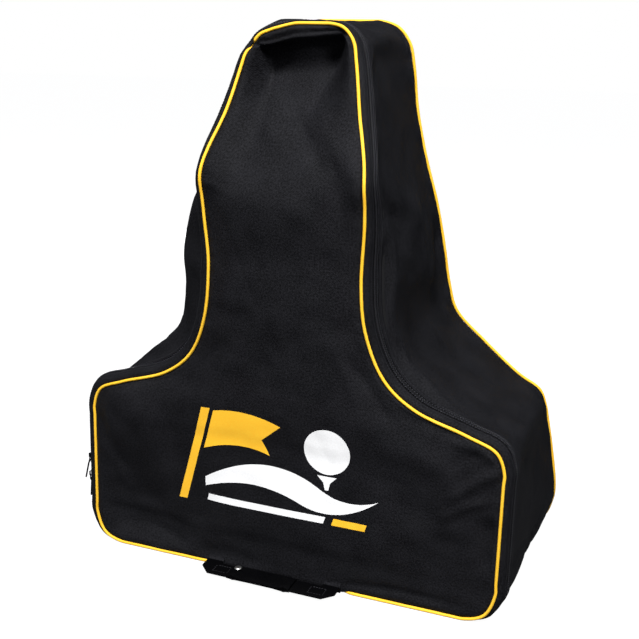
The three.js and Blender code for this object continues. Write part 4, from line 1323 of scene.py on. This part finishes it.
def cord_piece(name, columns, which, seed, **rest):
    """Piping all the way round a seam. The front one thins in the corner's crease and tucks in
    behind the handle."""
    centre, out = ring_of(columns, which)
    made = np.random.default_rng(seed)
    lengths = running(centre)
    uneven = sum(np.sin(lengths / size * 6.283 + made.uniform(0, 6)) for size in UNEVEN_LENGTHS)
    uneven = uneven / len(UNEVEN_LENGTHS)
    turns = np.arange(CORD_SIDES) / CORD_SIDES * 2 * math.pi
    hidden = tucked = np.zeros(len(centre))
    if which == FRONT:
        hidden = np.exp(-(np.linalg.norm(centre - CORD_FOLD, axis=1) / CORD_FOLD_REACH) ** 4)
        tucked = handle_sag(centre[:, 0]) * (centre[:, 2] < 6)
    radius = CORD_RADIUS * (1 + CORD_UNEVEN * uneven - CORD_FOLD_THIN * hidden)[:, None, None]
    round_out, round_back = np.cos(turns)[:, None] * out[:, None], np.sin(turns)[:, None] * (0, 1, 0)
    rings = centre[:, None] + radius * (round_out + round_back)
    rings[..., 1] += (CORD_WANDER * uneven + CORD_FOLD_DEPTH * hidden + CORD_TUCK * tucked)[:, None]
    rings[..., 2] = np.maximum(rings[..., 2], 0.02)
    index = np.arange(len(centre) * CORD_SIDES).reshape(-1, CORD_SIDES)
    faces = quads(np.pad(index, ((0, 1), (0, 1)), mode="wrap").T).tolist()
    uv = grid_map(lengths[:, None], turns * CORD_RADIUS)
    return dress(new_piece(name, rings, faces, uv, **rest), piping_tape)


ring_rows = np.linspace(0, TOP_ROW, TOP_ROW * 9 + 1)
whole_ring = chain(
    side_columns(1, ring_rows), level_columns(TOP_ROW, (0, 1), np.linspace(-1, 1, 30)[1:-1][::-1]),
    side_columns(-1, ring_rows[::-1]), level_columns(0, (0, -1), np.linspace(-1, 1, 90)[1:-1]),
)
front_cord = cord_piece(
    "front_piping_cord", whole_ring, FRONT, 71, slot="piping", replaces=("front_piping", "front_base_piping"),
)
bend_at_fold(front_cord)
cord_piece("back_piping_cord", whole_ring, BACK, 73, body="bag", slot="piping", replaces=("back_piping",))

# Bound seam allowances inside the seams

BINDING_REACH = np.array([0, 0.6, 3, 6, 8.4, 9])
BINDING_HALF = np.array([0.35, 0.8, 0.8, 0.8, 0.8, 0.4])

for name, which, start, lean_back, node_names in (
    ("front_binding", FRONT, 4.2, 1, ("front_seam_binding", "front_base_binding")),
    ("back_binding", BACK, 5.6, -1, ("back_seam_binding",)),
):
    centre, out = ring_of(whole_ring, which)
    inward = np.array([0, lean_back, 0]) * math.sqrt(0.5)
    way, across = inward - out * math.sqrt(0.5), inward + out * math.sqrt(0.5)
    line = centre[:, None] + way[:, None] * (start + BINDING_REACH)[:, None]
    line[..., 2] = np.maximum(line[..., 2], 1)
    step = across[:, None] * BINDING_HALF[:, None]
    uv = grid_map(running(centre)[:, None], BINDING_REACH)
    outer, inner, uv = (np.swapaxes(grid, 0, 1) for grid in (line + step, line - step, uv))
    binding = sheet_piece(name, outer, inner, uv, closed=True, slot="binding", replaces=node_names)
    dress(binding, binding_tape, binding_tape)
    if which == FRONT:
        bend_at_fold(binding)
    else:
        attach(binding, "bag")

# Stitching

stitch_shape, stitch_faces = bar([
    (0, -1.5, -0.25, 0.12, 0.1), (0, -1.1, 0, 0.25, 0.22),
    (0, 1.1, 0, 0.25, 0.22), (0, 1.5, -0.25, 0.12, 0.1),
], 5)
stitch_shape = [(y, x, z) for x, y, z in stitch_shape]
STITCH_PITCH = 4.0
STITCH_START = 2
THREAD_RISE = 1.1
THREAD_SUNK, THREAD_SUNK_BELOW, THREAD_SUNK_FADE = 3, 250, 60


def stitch_lines(name, lines, body, finish=thread, length=1):
    """Stitches along lines, each stitch a small bar dipping in at both ends."""
    stitch = np.array(stitch_shape) * (length, 1, 1)
    frames = [frames_at(line, evenly(line[0], STITCH_PITCH, STITCH_START)) for line in lines]
    points, faces = repeated(stitch, stitch_faces, [np.concatenate(parts) for parts in zip(*frames)])
    dress(new_piece(name, points, faces, body=body, slot="binding", angle=60), finish)


STITCH_LIFT = 0.12


def grid_line(outer, column):
    """A line along one lane of a cloth grid, just above its face."""
    lane = outer[:, column]
    along = np.gradient(lane, axis=0)
    across = outer[:, column + 1] - outer[:, column - 1]
    out = unit(np.cross(across, along))
    return [lane + out * STITCH_LIFT, unit(along), unit(across), out]


stitch_lines("gusset_stitching", [grid_line(gusset_outer, 5)], "bag")
stitch_lines("strip_stitching", [grid_line(strip_outer, strip_outer.shape[1] - 6)], "front_flap")
for name, columns, way, body in (("front", flap_arch, -1, "front_flap"), ("rear", arch, 1, "bag")):
    low = smooth((THREAD_SUNK_BELOW - columns["front"][:, 1]) / THREAD_SUNK_FADE)
    sunk = COIL_DEPTH - THREAD_RISE + THREAD_SUNK * low[:, None]
    line = on_gusset(columns, columns["zip"] + way * COIL_THREAD, sunk)
    # The holding thread's paler tone is a painted highlight along the zip's edges
    stitch_lines(f"{name}_coil_thread", [line], body, coil_thread, 0.62)


# Zip sliders and pulls: the solids with their edges eased

def eased_copy(name, node, bevel_mm, body):
    """A copy of a node's solid with its doubles merged and its edges rounded."""
    piece = placed(name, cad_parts[node].data.copy())
    piece.data.name = name
    piece.data.materials.clear()
    pick(piece)
    bpy.ops.object.mode_set(mode="EDIT")
    bpy.ops.mesh.select_all(action="SELECT")
    bpy.ops.mesh.remove_doubles(threshold=1e-5)
    bpy.ops.mesh.dissolve_limited(angle_limit=math.radians(2))
    bpy.ops.mesh.normals_make_consistent(inside=False)
    bpy.ops.object.mode_set(mode="OBJECT")
    bevel = piece.modifiers.new("eased_edges", "BEVEL")
    bevel.width = bevel_mm * MM
    bevel.segments = 3
    bevel.limit_method = "ANGLE"
    bevel.angle_limit = math.radians(25)
    bpy.ops.object.modifier_apply(modifier=bevel.name)
    bpy.ops.object.shade_smooth_by_angle(angle=math.radians(40))
    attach(piece, body)
    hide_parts(node)
    return piece


for which in ("upper", "lower"):
    dress(eased_copy(f"{which}_slider_body", f"{which}_slider", 0.3, f"{which}_slider"), gunmetal)
    dress(eased_copy(f"{which}_pull_leaf", f"{which}_pull", 0.22, f"{which}_pull"), gunmetal)

for node in ("zip_stop_right", "zip_stop_left"):
    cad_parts[node].data.materials.clear()
    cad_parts[node].data.materials.append(gunmetal)

# Carry handle

dress(eased_copy("handle_webbing", "handle_strap", 0.5, "handle"), webbing)

WRAP_RINGS = 56
WRAP_SIDES = 44
WRAP_CORNER = 3.2
WRAP_INNER = 2.4
WRAP_PUSH = 4
WRAP_HALF, WRAP_THICK = 15.2, 5.2
WRAP_INNER_HALF, WRAP_INNER_CORNER = 14.3, 8
WRAP_ROUND = 80
DROOP = math.radians(4)

grip_low, grip_high = (np.array(corner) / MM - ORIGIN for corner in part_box("handle_grip"))
strap_low, strap_high = (np.array(corner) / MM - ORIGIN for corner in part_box("handle_strap"))
grip_middle = (grip_low + grip_high) / 2
along_grip = np.linspace(grip_low[0], grip_high[0], WRAP_RINGS)
droop_way = np.array([0, math.cos(DROOP), math.sin(DROOP)])
droop_up = np.array([0, -math.sin(DROOP), math.cos(DROOP)])


def wrap_grid(half_width, half_thick, power):
    """Rings of a soft flat tube along the grip, with its seam underneath."""
    turns = -math.pi / 2 + np.linspace(0, 2 * math.pi, WRAP_SIDES + 1)
    side, rise = (np.sign(wave) * np.abs(wave) ** (2 / power) for wave in (np.cos(turns), np.sin(turns)))
    ends = np.abs(along_grip - grip_middle[0]) / ((grip_high[0] - grip_low[0]) / 2)
    draw_in = 1 - 0.2 * smooth((ends - 0.8) / 0.2) * (half_thick > WRAP_INNER)
    grid = np.zeros((WRAP_RINGS, WRAP_SIDES + 1, 3))
    grid[..., 0] = along_grip[:, None]
    grid += grip_middle * (0, 1, 1)
    grid += (half_width * side)[None, :, None] * droop_way
    return grid + (half_thick * draw_in[:, None] * rise[None])[..., None] * droop_up


outer_wrap = wrap_grid(WRAP_HALF, WRAP_THICK, WRAP_CORNER)
held = np.zeros(outer_wrap.shape[:2], bool)
held[(0, 1, -2, -1), :] = held[:, (0, -1)] = True
outer_wrap = outer_wrap + loosen(outer_wrap, held, 0.01, WRAP_PUSH, 1.2, 20)
around_wrap = np.linspace(0, 1, WRAP_SIDES + 1)
edge_step = 0.7 * smooth((around_wrap - 0.66) / 0.012) * (around_wrap < 0.98)
bunched = 0.35 * ripple(outer_wrap, 22, 91) + 0.3 * crumple(outer_wrap, 12, 92)
outer_wrap += (edge_step[None, :, None] - bunched[..., None]) * droop_up
inner_wrap = wrap_grid(WRAP_INNER_HALF, WRAP_INNER, WRAP_INNER_CORNER)
outer_wrap[:, -1], inner_wrap[:, -1] = outer_wrap[:, 0], inner_wrap[:, 0]
wrap_uv = grid_map(outer_wrap[..., 0], around_wrap * WRAP_ROUND)
handle_wrap = sheet_piece(
    "handle_wrap", outer_wrap[:, :-1], inner_wrap[:, :-1], wrap_uv[:, :-1], closed=True, body="handle",
    slot="grip", replaces=("handle_grip",),
)
dress(handle_wrap, padded_wrap, padded_wrap)
dress(eased_copy("handle_press_stud", "handle_stud", 0.3, "handle"), nickel)
# Box stitches where the webbing is sewn to itself
BOX_HALF = np.array((11, 7.5))
strap_middle = (strap_low[1] + strap_high[1]) / 2 - 3
BOX_CENTRES = (-80, 66)
box_lines = []
for centre_x in BOX_CENTRES:
    corners = [(-1, -1), (1, -1), (1, 1), (-1, 1), (-1, -1)]
    for start, end in zip(corners, corners[1:]):
        ends = [np.array((centre_x, 0)) + BOX_HALF * corner for corner in (start, end)]
        flat = np.array([mix(ends[0], ends[1], share) for share in np.linspace(0, 1, 12)])
        depth = strap_middle + flat[:, 1] * math.cos(DROOP)
        height = strap_high[2] - (strap_high[1] - depth) * math.tan(DROOP)
        line = np.stack([flat[:, 0], depth, height + STITCH_LIFT], 1)
        along = np.repeat(unit(line[-1] - line[0])[None], len(line), 0)
        out = np.repeat(droop_up[None], len(line), 0)
        box_lines.append([line, along, np.cross(out, along), out])
stitch_lines("handle_stitching", box_lines, "handle")

# The webbing's sewn ends: a tongue that thins out up the cloth
TONGUE = ((1.2, 3.4), (4, 4.2), (8, 4.3), (10.5, 3.2), (12.5, 1.6), (14.5, 0.8))
for which, (low, high) in (("left", (left_low, left_high)), ("right", (right_low, right_high))):
    low, high = (np.array(corner) / MM - ORIGIN for corner in (low, high))
    across = np.linspace(low[0], high[0], 9)
    outer, inner = (
        np.array([[(x, high[1] - thick * out, z) for x in across] for z, thick in TONGUE]) for out in (1, 0)
    )
    tongue = sheet_piece(
        f"anchor_{which}", outer, inner, outer[..., (0, 2)], body="bag", slot="webbing",
        replaces=(f"handle_anchor_{which}",),
    )
    dress(tongue, polyester, webbing)

# Floor, light and camera

FLOOR_HALF = 60.0


def seen_or_not(tree, unseen, seen):
    """One shader for what lights the bag and another for what the camera sees."""
    rays = add_node(tree, "ShaderNodeLightPath").outputs["Is Camera Ray"]
    both = {"_0": rays, "_1": unseen.outputs[0], "_2": seen.outputs[0]}
    return add_node(tree, "ShaderNodeMixShader", None, **both).outputs[0]


bpy.ops.object.select_all(action="DESELECT")
bpy.ops.mesh.primitive_plane_add(size=FLOOR_HALF * 2, location=(0, 0, -0.0005))
floor = bpy.context.object
floor.name = "floor"
matt = {"Roughness": 0.9, "Specular IOR Level": 0.0}
floor_paint, floor_tree, floor_shader = new_finish("matt_grey_paper", matt)
floor_shader.inputs["Base Color"].default_value = colour("#666668")
glow = add_node(floor_tree, "ShaderNodeEmission", {"Color": colour("#ffffff"), "Strength": 0.975})
unlit = add_node(floor_tree, "ShaderNodeEmission", {"Strength": 0.0})
seen_glow = seen_or_not(floor_tree, unlit, glow)
floor_sum = add_node(floor_tree, "ShaderNodeAddShader", None, _0=floor_shader.outputs["BSDF"], _1=seen_glow)
floor_tree.links.new(floor_sum.outputs[0], floor_tree.nodes["Material Output"].inputs["Surface"])
dress(floor, floor_paint)

world = bpy.data.worlds.new("studio")
bpy.context.scene.world = world
world.use_nodes = True
sky = world.node_tree
sky.nodes.clear()
soft = add_node(sky, "ShaderNodeBackground", {"Color": colour("#e6ecf8"), "Strength": 0.17})
white = add_node(sky, "ShaderNodeBackground", {"Color": colour("#ffffff"), "Strength": 1.0})
add_node(sky, "ShaderNodeOutputWorld", None, Surface=seen_or_not(sky, soft, white))


def soft_light(name, place, target, size, power):
    lamp = bpy.data.lights.new(name, "AREA")
    lamp.shape = "SQUARE"
    lamp.size = size
    lamp.energy = power
    holder = placed(name, lamp)
    holder.visible_camera = False
    holder.location = place
    holder.rotation_euler = (Vector(target) - Vector(place)).to_track_quat("-Z", "Y").to_euler()


# Each light's place and what it faces in metres, its width in metres and its power in watts
LIGHTS = {
    "key_light": ((0.2, -2.62, 3.95), (0, -0.1, 0.35), 0.8, 308),
    "side_light": ((1.05, -0.9, 1.5), (0.1, -0.1, 0.3), 0.3, 16.5),
    "back_light": ((-1.6, 2.6, 0.35), (0, 0.1, 0.35), 0.8, 42),
}
for name, light in LIGHTS.items():
    soft_light(name, *light)

# Camera: its eye in millimetres from the foot of the front seam, and its turns in degrees
IMAGE = 639
FOCAL_PIXELS = 1000
SENSOR = 36
EYE = np.array((519.7, -1176.4, 700.4))
YAW, PITCH, ROLL = 21.75, 13.93, 1.60
lens = bpy.data.cameras.new("photo_camera")
lens.sensor_width = SENSOR
lens.lens = FOCAL_PIXELS / IMAGE * SENSOR
camera = placed("photo_camera", lens)
yaw, pitch, roll = (math.radians(angle) for angle in (YAW, PITCH, ROLL))
back = Vector((math.sin(yaw) * math.cos(pitch), -math.cos(yaw) * math.cos(pitch), math.sin(pitch)))
right = (-back).cross(Vector((0, 0, 1))).normalized()
up = right.cross(-back)
camera_right = right * math.cos(roll) + up * math.sin(roll)
camera_up = -right * math.sin(roll) + up * math.cos(roll)
turn = Matrix((camera_right, camera_up, back)).transposed().to_4x4()
camera.matrix_world = Matrix.Translation(Vector((EYE + ORIGIN) * MM)) @ turn
bpy.context.scene.camera = camera
bpy.context.scene.view_settings.view_transform = "Standard"
